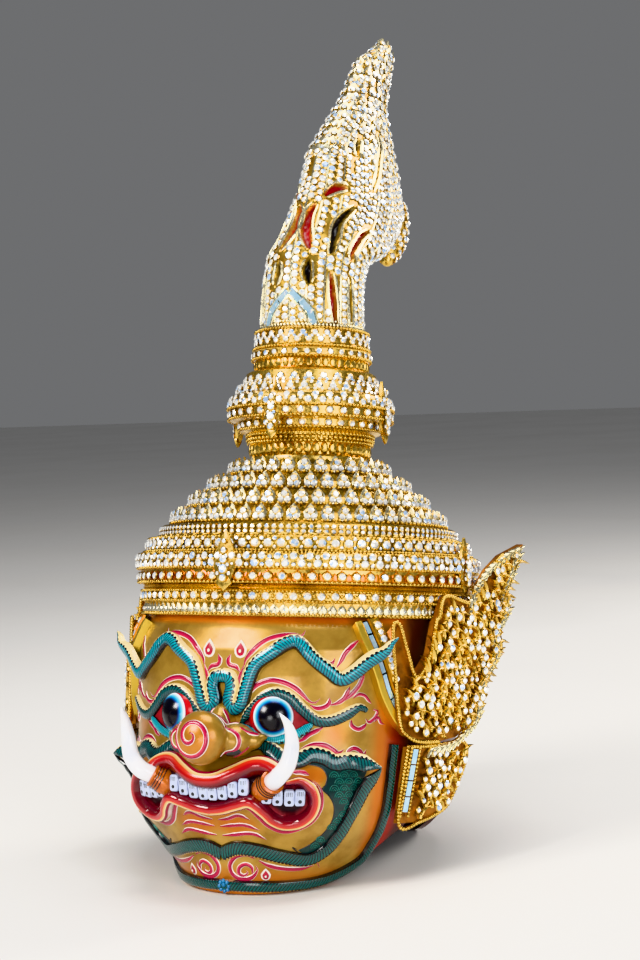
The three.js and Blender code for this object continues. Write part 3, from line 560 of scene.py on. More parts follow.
BEARD_SIDE = [
    (25, 91), (29, 94), (33, 94.5), (37, 91), (43, 91.5), (47.4, 90), (46, 82), (45.2, 76), (43.8, 66),
    (42.4, 58), (41.2, 53), (38.7, 42.6), (34.5, 32), (30, 26.5),
]

(brow_form, lower_lid_form, green_form, rope_form, lip_form, lower_lip_form, line_form, dark_form, beard_form,
 corner_form, scale_lines) = (Form() for _ in range(11))
moulded(brow_form, BROW, 10.4, 4.4, 150, (1, 0.12), 0.1, 2.2, section=BAND, flip=True)
moulded(green_form, UPPER_LID, 8.4, 3.1, 90, (0.3, 0.5), sink=1.5, section=BAND, flip=True)
moulded(lower_lid_form, LOWER_LID, 6.6, 2.4, 60, (0.3, 0.3), sink=1.5, section=BAND)
moulded(green_form, BEARD_TOP, 12, 3, 90, (0.3, 0.1), 0.16, 2, section=BAND, flip=True)
moulded(rope_form, BEARD_EDGE, 11, 3, 140, (1, 0.1), sink=2, section=BAND)
moulded(rope_form, JAW_ROPE, 8.4, 3.4, 120, (1, 1), sink=2, section=BAND)
moulded(lip_form, UPPER_LIP, 11.6, 6.4, 110, (0.5, 0.5), 0.08, 4, False, section=BAND)
moulded(lower_lip_form, LOWER_LIP, 8.4, 5.0, 110, (1, 0.4), sink=4, section=BAND)
patch(corner_form, UPPER_LID[:8], LOWER_LID, 6, lift=0.35)
for way, width in CRIMSON_LINES:
    moulded(line_form, way, 1.22 * width, 0.9, 44, (0.25, 0.04), 0.26)
moulded(dark_form, LOBE_EDGE, 1.3, 0.4, 90, (0.3, 0.3), sink=0.3)
moulded(dark_form, LOBE_CHIN, 1.2, 0.4, 60, (0.3, 0.3), sink=0.3)
patch(beard_form, LOBE_EDGE, BEARD_SIDE, 10, 80)
field = [(a * DEGREE_WIDTH, h) for a, h in LOBE_EDGE + BEARD_SIDE[::-1]]
for row, z in enumerate(np.arange(34, 90, 4.4)):
    for degrees in np.arange(31 + 1.6 * (row % 2), 48, 3.2):
        if depth_in(field, degrees * DEGREE_WIDTH, z) > 3.4:
            for reach in (1.0, 0.62, 0.28):
                arc = [(degrees + 1.5 * reach * math.cos(b), z + 4.2 * reach * math.sin(b))
                       for b in np.linspace(math.pi, 0, 7)]
                moulded(scale_lines, arc, 0.75, 0.75, 10, sink=0.1)


# ---- finishes ----

def rgb(*c):
    return (*c, 1.0)


def put(tree, value, socket):
    if isinstance(value, bpy.types.NodeSocket):
        tree.links.new(value, socket)
    else:
        socket.default_value = value


def group(name, inputs, outputs):
    """A node group, with its inputs and its output node. Every output but Color is a number."""
    tree = bpy.data.node_groups.new(name, "ShaderNodeTree")
    for label, value in inputs.items():
        kind = "NodeSocketColor" if isinstance(value, tuple) else "NodeSocketFloat"
        tree.interface.new_socket(name=label, in_out="INPUT", socket_type=kind).default_value = value
    for label in outputs:
        kind = "NodeSocketColor" if label == "Color" else "NodeSocketFloat"
        tree.interface.new_socket(name=label, in_out="OUTPUT", socket_type=kind)
    given = tree.nodes.new("NodeGroupInput").outputs
    out = tree.nodes.new("NodeGroupOutput").inputs
    return tree, [given[label] for label in inputs], lambda label, value: put(tree, value, out[label])


def grouped(tree, name, values):
    node = tree.nodes.new("ShaderNodeGroup")
    node.node_tree = bpy.data.node_groups[name]
    for label, value in values.items():
        node.inputs[label].default_value = value
    return node.outputs


def maths(tree, operation, *values):
    node = tree.nodes.new("ShaderNodeMath")
    node.operation = operation
    for i, value in enumerate(values):
        put(tree, value, node.inputs[i])
    return node.outputs[0]


def between(tree, value, low, high, start=0.0, end=1.0):
    node = tree.nodes.new("ShaderNodeMapRange")
    node.interpolation_type = "SMOOTHSTEP"
    names = ("Value", "From Min", "From Max", "To Min", "To Max")
    for name, number in zip(names, (value, low, high, start, end)):
        put(tree, number, node.inputs[name])
    return node.outputs["Result"]


def blended(tree, share, a, b):
    node = tree.nodes.new("ShaderNodeMix")
    node.data_type = "RGBA"
    for i, value in ((0, share), (6, a), (7, b)):
        put(tree, value, node.inputs[i])
    return node.outputs[2]


def noise(tree, scale, detail=4.0):
    node = tree.nodes.new("ShaderNodeTexNoise")
    where = tree.nodes.new("ShaderNodeTexCoord").outputs["Object"]
    for name, value in (("Scale", scale), ("Detail", detail), ("Roughness", 0.55), ("Vector", where)):
        put(tree, value, node.inputs[name])
    return node.outputs["Fac"]


def uv_of(tree):
    """The two numbers of the UV map: along a line, and across it."""
    split = tree.nodes.new("ShaderNodeSeparateXYZ")
    tree.links.new(tree.nodes.new("ShaderNodeUVMap").outputs[0], split.inputs[0])
    return split.outputs[0], split.outputs[1]


def mark_of(tree, name):
    node = tree.nodes.new("ShaderNodeAttribute")
    node.attribute_name = name
    return node.outputs["Fac"]


def ramp(tree, value, stops, how="LINEAR"):
    node = tree.nodes.new("ShaderNodeValToRGB")
    node.color_ramp.interpolation = how
    elements = node.color_ramp.elements
    while len(elements) < len(stops):
        elements.new(0.5)
    for element, (place, colour) in zip(elements, stops):
        element.position, element.color = place, rgb(*colour)
    tree.links.new(value, node.inputs[0])
    return node.outputs[0]


def finish(name, colour, roughness=0.3, metallic=0.0, coat=0.0):
    """A material, its tree, and a function that sets an input of its shader."""
    mat = bpy.data.materials.new(name)
    mat.use_nodes = True
    tree = mat.node_tree
    shader = tree.nodes["Principled BSDF"]

    def paint(label, value):
        put(tree, value, shader.inputs[label])

    for label, value in (("Base Color", rgb(*colour)), ("Roughness", roughness), ("Metallic", metallic),
                         ("Coat Weight", coat), ("Coat Roughness", 0.12)):
        paint(label, value)
    return mat, tree, paint


def bump(tree, paint, height, strength, depth=0.0004):
    node = tree.nodes.new("ShaderNodeBump")
    for label, value in (("Strength", strength), ("Distance", depth), ("Height", height)):
        put(tree, value, node.inputs[label])
    paint("Normal", node.outputs["Normal"])


BLACK = rgb(0.01, 0.01, 0.012)


def leaf_gold_group():
    """Leaf gold with cloudy thin places and brush marks."""
    tree, (gold, deep, worn), out = group("leaf_gold", {
        "Gold": rgb(0.9, 0.6, 0.16), "Deep": rgb(0.45, 0.2, 0.03), "Worn": 0.5,
    }, ("Color", "Roughness", "Height"))
    cloud, grain = noise(tree, 42, 5), noise(tree, 420, 3)
    thin = maths(tree, "MULTIPLY", between(tree, cloud, 0.42, 0.72), worn)
    out("Color", blended(tree, thin, gold, deep))
    out("Roughness", between(tree, grain, 0.3, 0.75, 0.2, 0.38))
    out("Height", maths(tree, "ADD", maths(tree, "MULTIPLY", grain, 0.4), cloud))


def stroked_band_group():
    """Gloss paint with slanting strokes, a black-dotted cream edge above and a black line below."""
    tree, (main, stroke, edge, pitch, slant, edge_width, dots), out = group("stroked_band", {
        "Main": rgb(0, 0.3, 0.3), "Stroke": rgb(0, 0.03, 0.04), "Edge": rgb(0.8, 0.7, 0.45), "Pitch": 0.02,
        "Slant": 1.2, "Edge width": 0.16, "Dots": 0.03,
    }, ("Color", "Height"))

    def sums(operation, a, b=0.0):
        return maths(tree, operation, a, b)

    u, v = uv_of(tree)
    wave = maths(tree, "FRACT", sums("ADD", sums("DIVIDE", u, pitch), sums("MULTIPLY", v, slant)))
    marks = between(tree, maths(tree, "ABSOLUTE", sums("SUBTRACT", wave, 0.5)), 0.1, 0.3)
    shade = blended(tree, between(tree, v, 0.1, 0.6, 0.5, 0), blended(tree, marks, stroke, main), stroke)
    edge_foot = sums("SUBTRACT", 1.0, edge_width)
    edged = blended(tree, between(tree, v, edge_foot, sums("SUBTRACT", 1.02, edge_width)), shade, edge)
    bead = sums("SUBTRACT", maths(tree, "FRACT", sums("DIVIDE", u, dots)), 0.5)
    rise = sums("DIVIDE", sums("SUBTRACT", v, edge_foot), 0.27)
    gap = maths(tree, "SQRT", sums("ADD", sums("MULTIPLY", bead, bead), sums("MULTIPLY", rise, rise)))
    dotted = blended(tree, between(tree, gap, 0.3, 0.42), BLACK, edged)
    line = between(tree, v, 0.07, 0.1)
    out("Color", blended(tree, line, BLACK, dotted))
    out("Height", sums("MULTIPLY", marks, line))


def outlined_line_group():
    """Crimson down the middle with a white outline on both sides."""
    tree, (core, light, outline, width), out = group("outlined_line", {
        "Core": rgb(0.3, 0.0, 0.035), "Light": rgb(0.52, 0.02, 0.07), "Outline": rgb(0.88, 0.82, 0.76),
        "Outline width": 0.17,
    }, ("Color",))
    v = uv_of(tree)[1]
    middle = blended(tree, between(tree, v, 0.3, 0.75), core, light)
    edge = maths(tree, "ABSOLUTE", maths(tree, "SUBTRACT", v, 0.5))
    rim = between(tree, edge, maths(tree, "SUBTRACT", 0.5, width), maths(tree, "SUBTRACT", 0.54, width))
    out("Color", blended(tree, rim, middle, outline))


leaf_gold_group()
stroked_band_group()
outlined_line_group()


def gold_finish(name, gold, deep, worn):
    mat, tree, paint = finish(name, gold, 0.3, 1.0)
    leaf = grouped(tree, "leaf_gold", {"Gold": rgb(*gold), "Deep": rgb(*deep), "Worn": worn})
    paint("Base Color", leaf["Color"])
    paint("Roughness", leaf["Roughness"])
    bump(tree, paint, leaf["Height"], 0.25, 0.0002)
    return mat


def band_finish(name, main, stroke, edge, pitch, slant, edge_width, dots=0.034):
    mat, tree, paint = finish(name, main, 0.22, 0.0, 0.6)
    band = grouped(tree, "stroked_band", {
        "Main": rgb(*main), "Stroke": rgb(*stroke), "Edge": rgb(*edge), "Pitch": pitch, "Slant": slant,
        "Edge width": edge_width, "Dots": dots,
    })
    paint("Base Color", band["Color"])
    bump(tree, paint, band["Height"], 0.4, 0.0003)
    return mat


def make_face_paint():
    """Satin gold paint that turns orange and red towards the jaw and the ears, deep red just under the crown
    as painted shade, and dark red-brown at the back, partly painted shade.
    """
    mat, tree, paint = finish("face_gold", (0.6, 0.34, 0.07), 0.36, 0.55, 0.35)
    glow, dark, sunk = (mark_of(tree, name) for name in ("glow", "back", "mouth"))
    cloud, fine = noise(tree, 55, 5), noise(tree, 600, 2)
    gold = blended(tree, between(tree, cloud, 0.35, 0.7), rgb(0.5, 0.3, 0.065), rgb(0.31, 0.165, 0.028))
    warm = blended(tree, between(tree, glow, 0.05, 0.5), gold, rgb(0.6, 0.17, 0.018))
    # Deep red where the mark is high: red paint towards the ears, and painted shade in the strip under the
    # crown
    hot = blended(tree, between(tree, glow, 0.5, 1.0), warm, rgb(0.42, 0.025, 0.012))
    # Dark red-brown past the ears, partly painted shade for the shadowed sides behind the ear ornaments
    rear = blended(tree, dark, hot, rgb(0.085, 0.016, 0.01))
    inside = blended(tree, between(tree, sunk, 0.4, 1.0), rgb(0.2, 0.004, 0.012), rgb(0.012, 0.002, 0.006))
    paint("Base Color", blended(tree, between(tree, sunk, 0.02, 0.12), rear, inside))
    paint("Roughness", between(tree, cloud, 0.3, 0.8, 0.28, 0.44))
    bump(tree, paint, maths(tree, "ADD", fine, maths(tree, "MULTIPLY", cloud, 2.0)), 0.12, 0.0003)
    return mat


def make_lip_paint(name, flip):
    """Red lip with a white outline, a crimson line and a pale gold rim towards its outer edge."""
    mat, tree, paint = finish(name, (0.5, 0.02, 0.02), 0.2, 0.0, 0.7)
    v = uv_of(tree)[1]
    paint("Base Color", ramp(tree, maths(tree, "SUBTRACT", 1.0, v) if flip else v, [
        (0.0, (0.12, 0.002, 0.008)), (0.22, (0.36, 0.004, 0.008)), (0.5, (0.6, 0.03, 0.012)),
        (0.6, (0.85, 0.5, 0.16)), (0.72, (0.92, 0.74, 0.4)), (0.78, (0.3, 0.004, 0.035)),
        (0.9, (0.34, 0.006, 0.04)), (0.95, (0.88, 0.78, 0.72)),
    ], "EASE"))
    bump(tree, paint, noise(tree, 300, 2), 0.06)
    return mat


def make_plain(name, colour, deep, roughness=0.25, metallic=0.0, coat=0.5, scale=120, strength=0.1):
    """One paint or polish with slight clouding and an uneven surface."""
    mat, tree, paint = finish(name, colour, roughness, metallic, coat)
    cloud = noise(tree, scale, 4)
    paint("Base Color", blended(tree, between(tree, cloud, 0.35, 0.75), rgb(*colour), rgb(*deep)))
    paint("Roughness", between(tree, cloud, 0.2, 0.8, roughness * 0.8, roughness * 1.3))
    bump(tree, paint, cloud, strength, 0.0003)
    return mat


def make_eye():
    """White ring, then cyan deepening to blue, and a black pupil, by distance from the pole of the UV map."""
    mat, tree, paint = finish("painted_eye", (0.8, 0.85, 0.85), 0.22, 0.0, 0.12)
    paint("Base Color", ramp(tree, uv_of(tree)[1], [
        (0.0, (0.002, 0.001, 0.002)), (0.39, (0.002, 0.002, 0.006)), (0.425, (0.0, 0.02, 0.14)),
        (0.45, (0.0, 0.12, 0.38)), (0.49, (0.02, 0.36, 0.6)), (0.54, (0.25, 0.66, 0.8)),
        (0.575, (0.85, 0.92, 0.97)), (0.61, (0.9, 0.9, 0.97)), (0.635, (0.3, 0.01, 0.05)),
        (0.66, (0.55, 0.01, 0.012)),
    ]))
    return mat


def make_stone():
    """Foiled glass: bright facets, a few of them tinted faintly blue as a painted reflection of blue glints.
    """
    mat, tree, paint = finish("foiled_stone", (0.97, 0.97, 0.94), 0.1, 0.5, 0.8)
    # A few stones tinted blue: painted reflection for the blue glints of the glass
    which = between(tree, noise(tree, 190, 1), 0.56, 0.66)
    paint("Base Color", blended(tree, which, rgb(0.97, 0.97, 0.94), rgb(0.5, 0.68, 0.95)))
    return mat


def make_line():
    mat, tree, paint = finish("crimson_line", (0.5, 0.02, 0.06), 0.25, 0.0, 0.5)
    paint("Base Color", grouped(tree, "outlined_line", {})["Color"])
    return mat


def make_plume_gold():
    """Clouded gilding on the ribs, red paint in some hollows between them, and black in the others, painted
    shade for the dark inside of the open slots.
    """
    mat, tree, paint = finish("plume_gilding", (0.6, 0.4, 0.1), 0.3, 0.9)
    leaf = grouped(tree, "leaf_gold", {
        "Gold": rgb(0.72, 0.48, 0.11), "Deep": rgb(0.25, 0.11, 0.015), "Worn": 0.7,
    })
    hollow = mark_of(tree, "hollow")
    # Red paint in the hollows, and black in some of them as painted shade for the dark inside of the slots
    lining_and_shade = blended(tree, mark_of(tree, "black"), rgb(0.36, 0.002, 0.008), rgb(0.006, 0.004, 0.006))
    paint("Base Color", blended(tree, hollow, leaf["Color"], lining_and_shade))
    paint("Metallic", between(tree, hollow, 0, 1, 0.9, 0.0))
    bump(tree, paint, leaf["Height"], 0.25, 0.0002)
    return mat


def make_strap():
    """Gold band, orange line, a black bed for the mirrors and a plain yellow strip, from back to front."""
    mat, tree, paint = finish("strap_paint", (0.8, 0.6, 0.2), 0.32, 0.9)
    paint("Base Color", ramp(tree, uv_of(tree)[1], [
        (0.0, (0.6, 0.36, 0.07)), (0.41, (0.02, 0.012, 0.01)), (0.435, (0.75, 0.28, 0.02)),
        (0.49, (0.01, 0.01, 0.012)), (0.72, (0.7, 0.48, 0.09)),
    ], "CONSTANT"))
    bump(tree, paint, noise(tree, 260, 3), 0.15)
    return mat


GOLD = gold_finish("bright_gilding", (0.76, 0.52, 0.14), (0.32, 0.14, 0.02), 0.6)
# Darker gilding for the tiers and the leaves behind them: painted shade for the dark gaps between the crown's
# rows
SHADE_GOLD = gold_finish("shade_darkened_gilding", (0.5, 0.31, 0.06), (0.14, 0.06, 0.012), 0.8)
PALE_GOLD = gold_finish("pale_gilding", (0.93, 0.86, 0.6), (0.55, 0.4, 0.15), 0.35)
RED_GOLD = gold_finish("red_gilding", (0.72, 0.25, 0.03), (0.3, 0.06, 0.008), 0.5)
BROW_PAINT = band_finish(
    "turquoise_paint", (0.0, 0.32, 0.38), (0.0, 0.03, 0.06), (0.9, 0.76, 0.42), 0.021, 2.2, 0.22)
LID_PAINT = band_finish(
    "lower_lid_paint", (0.02, 0.42, 0.48), (0.0, 0.12, 0.18), (0.02, 0.2, 0.24), 0.013, 0.2, 0.12)
GREEN_PAINT = band_finish(
    "green_paint", (0.0, 0.10, 0.10), (0.0, 0.012, 0.02), (0.9, 0.75, 0.4), 0.023, 2.2, 0.22)
ROPE_PAINT = band_finish(
    "rope_paint", (0.0, 0.10, 0.085), (0.0, 0.012, 0.014), (0.75, 0.45, 0.12), 0.022, 2.6, 0.16, 0.026)
FACE_PAINT, STONE, CRIMSON = make_face_paint(), make_stone(), make_line()
UPPER_LIP_PAINT = make_lip_paint("upper_lip_paint", True)
LOWER_LIP_PAINT = make_lip_paint("lower_lip_paint", False)
BLACK_PAINT = make_plain("black_line", (0.008, 0.008, 0.01), (0.02, 0.02, 0.025), 0.3)
IVORY = make_plain("polished_shell", (0.86, 0.86, 0.88), (0.72, 0.74, 0.8), 0.16, 0.0, 0.8, 60, 0.05)
TOOTH = make_plain("tooth_paint", (0.62, 0.68, 0.85), (0.4, 0.45, 0.65), 0.2, 0.0, 0.6, 200)
BEARD = make_plain("beard_paint", (0.0, 0.03, 0.028), (0.0, 0.015, 0.015), 0.3)
SCALE_GREEN = make_plain("scale_paint", (0.02, 0.2, 0.15), (0.01, 0.12, 0.09), 0.3)
ORANGE = make_plain("orange_paint", (0.6, 0.16, 0.02), (0.4, 0.07, 0.01), 0.25, 0.3, 0.6, 90)
RED_LINING = make_plain("red_lining", (0.28, 0.005, 0.01), (0.1, 0.002, 0.004), 0.5, 0.0, 0.1, 80)
BLUE_PAINT = make_plain("blue_paint", (0.02, 0.2, 0.42), (0.01, 0.1, 0.25), 0.3)
WHITE_PAINT = make_plain("white_paint", (0.8, 0.76, 0.7), (0.7, 0.6, 0.5), 0.3)
CRIMSON_PAINT = make_plain("crimson_paint", (0.45, 0.01, 0.04), (0.3, 0.005, 0.02), 0.3)
EAR_GILDING = make_plain("orange_gilding", (0.42, 0.16, 0.025), (0.13, 0.04, 0.01), 0.35, 0.8, 0.0)
MIRROR = make_plain("mirror_glass", (0.45, 0.72, 0.9), (0.7, 0.85, 0.95), 0.08, 0.55, 0.6)


def painted_head():
    """The head with its orange and red paint, the painted shade under the crown, the back painted dark,
    partly as shade, and the sunk mouth marked for its paint.
    """
    form = head_shell()
    head = piece("face_shell", form, FACE_PAINT, ("mask_head",), recalc=False)
    x, y, z = np.vstack(form.points).T
    turn = np.degrees(np.arctan2(x, -y))
    away = np.abs(turn)
    glow = np.maximum.reduce([
        # Deep red just under the crown's edge: painted shade for the shadow there
        eased(181, 193, z) * 0.95,
        eased(41, 60, away) * 0.6 * eased(175, 100, z) + eased(47, 60, away) * 0.4,
        eased(30, 8, z) * 0.42,
        0.62 * np.exp(-((away - 29) / 5) ** 2 - ((z - 84) / 7) ** 2),
        0.5 * np.exp(-((away - 6) / 9) ** 2 - ((z - 50) / 9) ** 2),
        0.3 * np.exp(-((away - 36) / 6) ** 2 - ((z - 112) / 12) ** 2),
    ])
    sunk = np.where(y < -60, np.clip(mouth_depth(np.radians(turn), z) / 7, 0, 1), 0)
    # The back past the ears is marked for dark red-brown, partly painted shade
    mark(head, glow=np.clip(glow, 0, 1), back=eased(60, 66, away), mouth=sunk)


def face_place(degrees, z, lift=0.0):
    """A point over the face with its directions across, up and out."""
    turn = math.radians(degrees)
    out = head_normal(turn, z)
    return (on_head(turn, z) + out * lift, *square_to(out), out)


def rosette():
    form = Form()
    across = np.array([1.0, 0, 0])
    for turn in np.arange(8) * math.pi / 4:
        point, _, _, out = face_place(1.75 * math.cos(turn), 7.2 + 3.6 * math.sin(turn), 3.3)
        copies(form, SEED, [(point, across, UP, out, (1.5, 1.5, 1.1))])
    middle = on_head(0.0, 7.2) + (0, -3.8, 0)
    copies(form, SEED, [(middle, across, UP, np.array([0, -1.0, 0]), (1.7, 1.7, 1.3))])
    return form


painted_head()
for name, form, material, slot in (
    ("brows", brow_form, BROW_PAINT, "green_paint"),
    ("eye_bands_and_beard_top", green_form, GREEN_PAINT, "green_paint"),
    ("beard_and_jaw_bands", rope_form, ROPE_PAINT, "green_paint"),
    ("beard_ground", beard_form, BEARD, "green_paint"),
    ("beard_scales", scale_lines, SCALE_GREEN, "green_paint"),
    ("upper_lip", lip_form, UPPER_LIP_PAINT, "red_paint"),
    ("lower_lip", lower_lip_form, LOWER_LIP_PAINT, "red_paint"),
    ("crimson_lines", line_form, CRIMSON, "red_paint"),
    ("black_lines", dark_form, BLACK_PAINT, "green_paint"),
    ("chin_rosette", rosette(), BLUE_PAINT, "green_paint"),
    ("lower_lids", lower_lid_form, LID_PAINT, "green_paint"),
    ("eye_corners", corner_form, RED_LINING, "red_paint"),
):
    piece(name, form, material)


# ---- nose, eyes, teeth and tusks ----

EYE_RADIUS = 17
EYE_MIDDLE = np.array([34.5, -114.2, 122.5])
GAZE_OUT = math.radians(25)


def eyeball():
    bpy.ops.mesh.primitive_uv_sphere_add(segments=64, ring_count=40, radius=EYE_RADIUS)


def eyes():
    form = Form()
    points, faces = pattern(eyeball)
    polar = np.degrees(np.arccos(np.clip(points[:, 2] / EYE_RADIUS, -1, 1)))
    for side in (1, -1):
        gaze = np.array([side * math.sin(GAZE_OUT), -math.cos(GAZE_OUT), 0.0])
        axes = np.array([np.cross(UP, gaze), UP, gaze])
        form.add(points @ axes + EYE_MIDDLE * (side, 1, 1), faces, np.stack([0 * polar, polar / 85], 1))
    return form


piece("eyes", eyes(), make_eye())


def nose():
    """Balls for the tip, wings and bridge, melted into one moulded form."""
    balls = [
        ((0, -152.6, 108), (18.2, 14, 18.4)), ((0, -121.5, 112), (10.6, 16, 19)),
        ((0, -138, 109), (14, 13, 14)),
    ]
    for side in (1, -1):
        balls += [
            ((side * 18.5, -137.5, 106.5), (12.5, 13, 11.8)), ((side * 26.5, -133.5, 106.4), (9.5, 7.6, 6.4)),
            ((side * 33, -130.5, 109), (5.5, 4.4, 2.6)),
        ]
    parts = []
    for where, size in balls:
        bpy.ops.mesh.primitive_uv_sphere_add(segments=32, ring_count=20, radius=1)
        active().data.transform(Matrix.Translation(where) @ Matrix.Diagonal((*size, 1)))
        parts.append(active())
    for ball in parts:
        ball.select_set(True)
    bpy.context.view_layer.objects.active = parts[0]
    bpy.ops.object.join()
    whole = active()
    whole.name = "nose"
    melt = whole.modifiers.new("melt", "REMESH")
    melt.mode, melt.voxel_size = "VOXEL", 1.0
    soften = whole.modifiers.new("soften", "SMOOTH")
    soften.factor, soften.iterations = 0.5, 14
    for name in ("melt", "soften"):
        bpy.ops.object.modifier_apply(modifier=name)
    points, faces = mesh_of(whole)
    level = np.zeros(len(points))
    mark(whole, glow=0.3 * np.exp(-((points[:, 1] + 166) / 8) ** 2), back=level, mouth=level)
    dress(whole, FACE_PAINT, recalc=False, smooth=60)
    return BVHTree.FromPolygons(points.tolist(), faces)


nose_skin = nose()


def on_nose(x, z):
    where, direction, _, _ = nose_skin.ray_cast(Vector((x, -230, z)), Vector((0, 1, 0)))
    return None if where is None else (np.array(where), unit(np.array(direction) + (0, -0.25, 0)))


def nose_lines():
    """The spiral on the tip, with arcs that run back over the wings."""
    form = Form()
    t = np.linspace(0, 1, 34)
    turn, r = 1.2 - t * 2 * math.pi * 1.8, 0.9 + 14.2 * t ** 0.92
    spiral = np.stack([r * np.cos(turn) - 1.2 * (1 - t), 110.8 - 2.2 * t + 1.04 * r * np.sin(turn)], 1)
    ways = [(spiral, 3.9, 170)]
    for side in (1, -1):
        ways.append((np.array([(20, 118.5), (24, 115.6), (28.8, 112.4), (34, 110.6)]) * (side, 1), 2.8, 40))
        ways.append((np.array([(19.6, 95.8), (24.6, 98), (30, 103)]) * (side, 1), 2.2, 30))
    for way, width, steps in ways:
        traced(form, [hit for hit in (on_nose(x, z) for x, z in way) if hit], width, 0.8, steps)
    for side in (1, -1):
        for back, low, high, width in ((-147.5, -42, 84, 3.4), (-138.5, 28, 84, 3.2), (-130, 24, 82, 2.8)):
            spots = []
            for turn in np.radians(np.linspace(low, high, 16)):
                spoke = Vector((side * math.cos(turn), 0, math.sin(turn)))
                where, direction, _, _ = nose_skin.ray_cast(Vector((0, back, 107)) + 60 * spoke, -spoke)
                if where is not None:
                    spots.append((where, direction))
            traced(form, spots, width, 0.8, 50)
    return form


def nostrils():
    form = Form()
    for side in (1, -1):
        where, out = on_nose(side * 21.5, 98.6)
        across, up = square_to(out)
        c, s = math.cos(side * 0.35), math.sin(side * 0.35)
        axes = across * c + up * s, up * c - across * s, out
        copies(form, SEED, [(where + out * 0.1, *axes, (5.8, 2.9, 1.0))])
    return form


piece("nostrils", nostrils(), BLACK_PAINT)
piece("nose_lines", nose_lines(), CRIMSON)

TUSK_WAY = [
    (46.3, -137.3, 80.0), (53.5, -142.2, 84.5), (60.5, -143, 93), (63.4, -143, 106), (63.2, -148, 118),
    (61, -156.8, 127),
]


def tusk(side):
    """A horn that swings out of the cheek and up, round and tapering to a point."""
    way = smooth_way(TUSK_WAY, 60)
    rings = []
    for point, ahead, t in zip(way, unit(np.gradient(way, axis=0)), np.linspace(0, 1, len(way))):
        across = unit(np.cross([0.0, 1.0, 0.0], ahead))
        radius = 5.9 * (1 - t**3.2) * (1 - 0.1 * t) + 0.25
        rings.append(ring(point, across, np.cross(ahead, across), radius, 28))
    form = Form()
    form.add(np.vstack(rings) * (side, 1, 1), body_faces(len(way), 28))
    return form


def sockets():
    """Ringed orange sleeves that the tusks stand in, and the cords round them."""
    sleeves, cords = Form(), Form()
    root = np.array(TUSK_WAY[0])
    aim = unit(np.array(TUSK_WAY[1]) - root)
    across, up = square_to(aim)
    profile = [
        (-19, 4), (-17, 8.2), (-12, 9.4), (-7, 8.9), (-3, 7.8), (-1.2, 7.6), (-0.6, 8.3), (0.4, 8.3),
        (0.9, 7.2), (0.4, 6.1),
    ]
    sleeve = [ring(root + aim * a, across, up, r, 32) for a, r in profile]
    sleeves.add(np.vstack(sleeve), sheet_faces(len(profile), 32, True), mirror=True)
    for place, radius in ((-4.2, 8.25), (-2.4, 7.85), (-6.2, 8.85)):
        cord = [ring(root + aim * (place + 0.38 * math.sin(a)), across, up, radius + 0.38 * math.cos(a), 32)
                for a in np.linspace(0, 2 * math.pi, 7)]
        cords.add(np.vstack(cord), sheet_faces(7, 32, True), mirror=True)
    return sleeves, cords


def teeth():
    white, dots = Form(), Form()
    rows = [
        (1.4, 71.2), (4.5, 72), (7.6, 73.8), (10.7, 76), (16.9, 70.4), (19.9, 69.4), (23.1, 69.2), (26, 69.6),
    ]
    for degrees, z in rows + [(-a, h) for a, h in rows]:
        base, across, up, out = face_place(degrees, z, -1.5)
        copies(white, TOOTH_SHAPE, [(base, across, up, out, (7.0, 11.4, 4.6))])
        copies(dots, GEM, [(base + out * 2.3 - up * 2.4, across, up, out, (1.35, 1.35, 0.4))])
        for k in (-1.7, -0.55, 0.6, 1.75):
            point = base + out * 2.2 + up * 2.9 + across * k
            copies(dots, TOOTH_SHAPE, [(point, across, up, out, (0.36, 3.2, 0.5))])
    return white, dots


def drops():
    """The drop-shaped marks on the forehead and chin, a white edge round a crimson middle."""
    white, red = Form(), Form()
    for side in (1, -1):
        for degrees, z, size in ((5.7, 166.6, 1.0), (14.4, 14.6, 0.72)):
            base, *axes = face_place(side * degrees, z)
            up, out = axes[1] * size, axes[2]
            copies(white, LEAF, [(base - up * 5.4, *axes, (9.6 * size, 13 * size, 3.4))])
            copies(red, LEAF, [(base - up * 3.9 + out * 0.5, *axes, (6.2 * size, 9 * size, 3.0))])
            copies(white, SEED, [(base - up * 0.6 + out * 1.1, *axes, (1.1 * size, 1.3 * size, 0.5))])
    return white, red


for name, side in (("left", 1), ("right", -1)):
    piece("tusk_of_shell_" + name, tusk(side), IVORY, ("tusk_" + name,))
for names, forms, materials, slot in (
    (("tusk_sockets", "socket_rings"), sockets(), (ORANGE, BLACK_PAINT), "red_paint"),
    (("teeth", "tooth_marks"), teeth(), (TOOTH, BLACK_PAINT), "white_paint"),
):
    for name, form, material in zip(names, forms, materials):
        piece(name, form, material)
drop_white, drop_red = drops()
piece("drop_edges", drop_white, WHITE_PAINT)
piece("drop_middles", drop_red, CRIMSON_PAINT)


# ---- crown ----

random.seed(7)
crown_red, crown_pale, stones, settings, beads, tier_leaves, tier_dark, flutes = (Form() for _ in range(8))


def gem_rows(*rows):
    """Rings of stones: radius, height, count, size, lean, phase and whether they stand in settings."""
    for radius, z, count, size, *rest in rows:
        lean, phase, ringed = (*rest, *(0, 0, True)[len(rest):])
        copies(stones, GEM, ring_places(radius, z, count, (size, size, size * 0.9), lean, phase, 0.12))
        if ringed:
            copies(settings, SETTING, ring_places(radius, z, count, (size, size, size), lean, phase))


def bead_rows(*rows):
    for radius, z, count, size in rows:
        copies(beads, SEED, ring_places(radius, z, count, (size, size, size)))


def leaves(form, radius, foot, count, width, height, depth, lean, phase=0.0):
    copies(form, LEAF, ring_places(radius, foot, count, (width, height, depth), lean, phase))


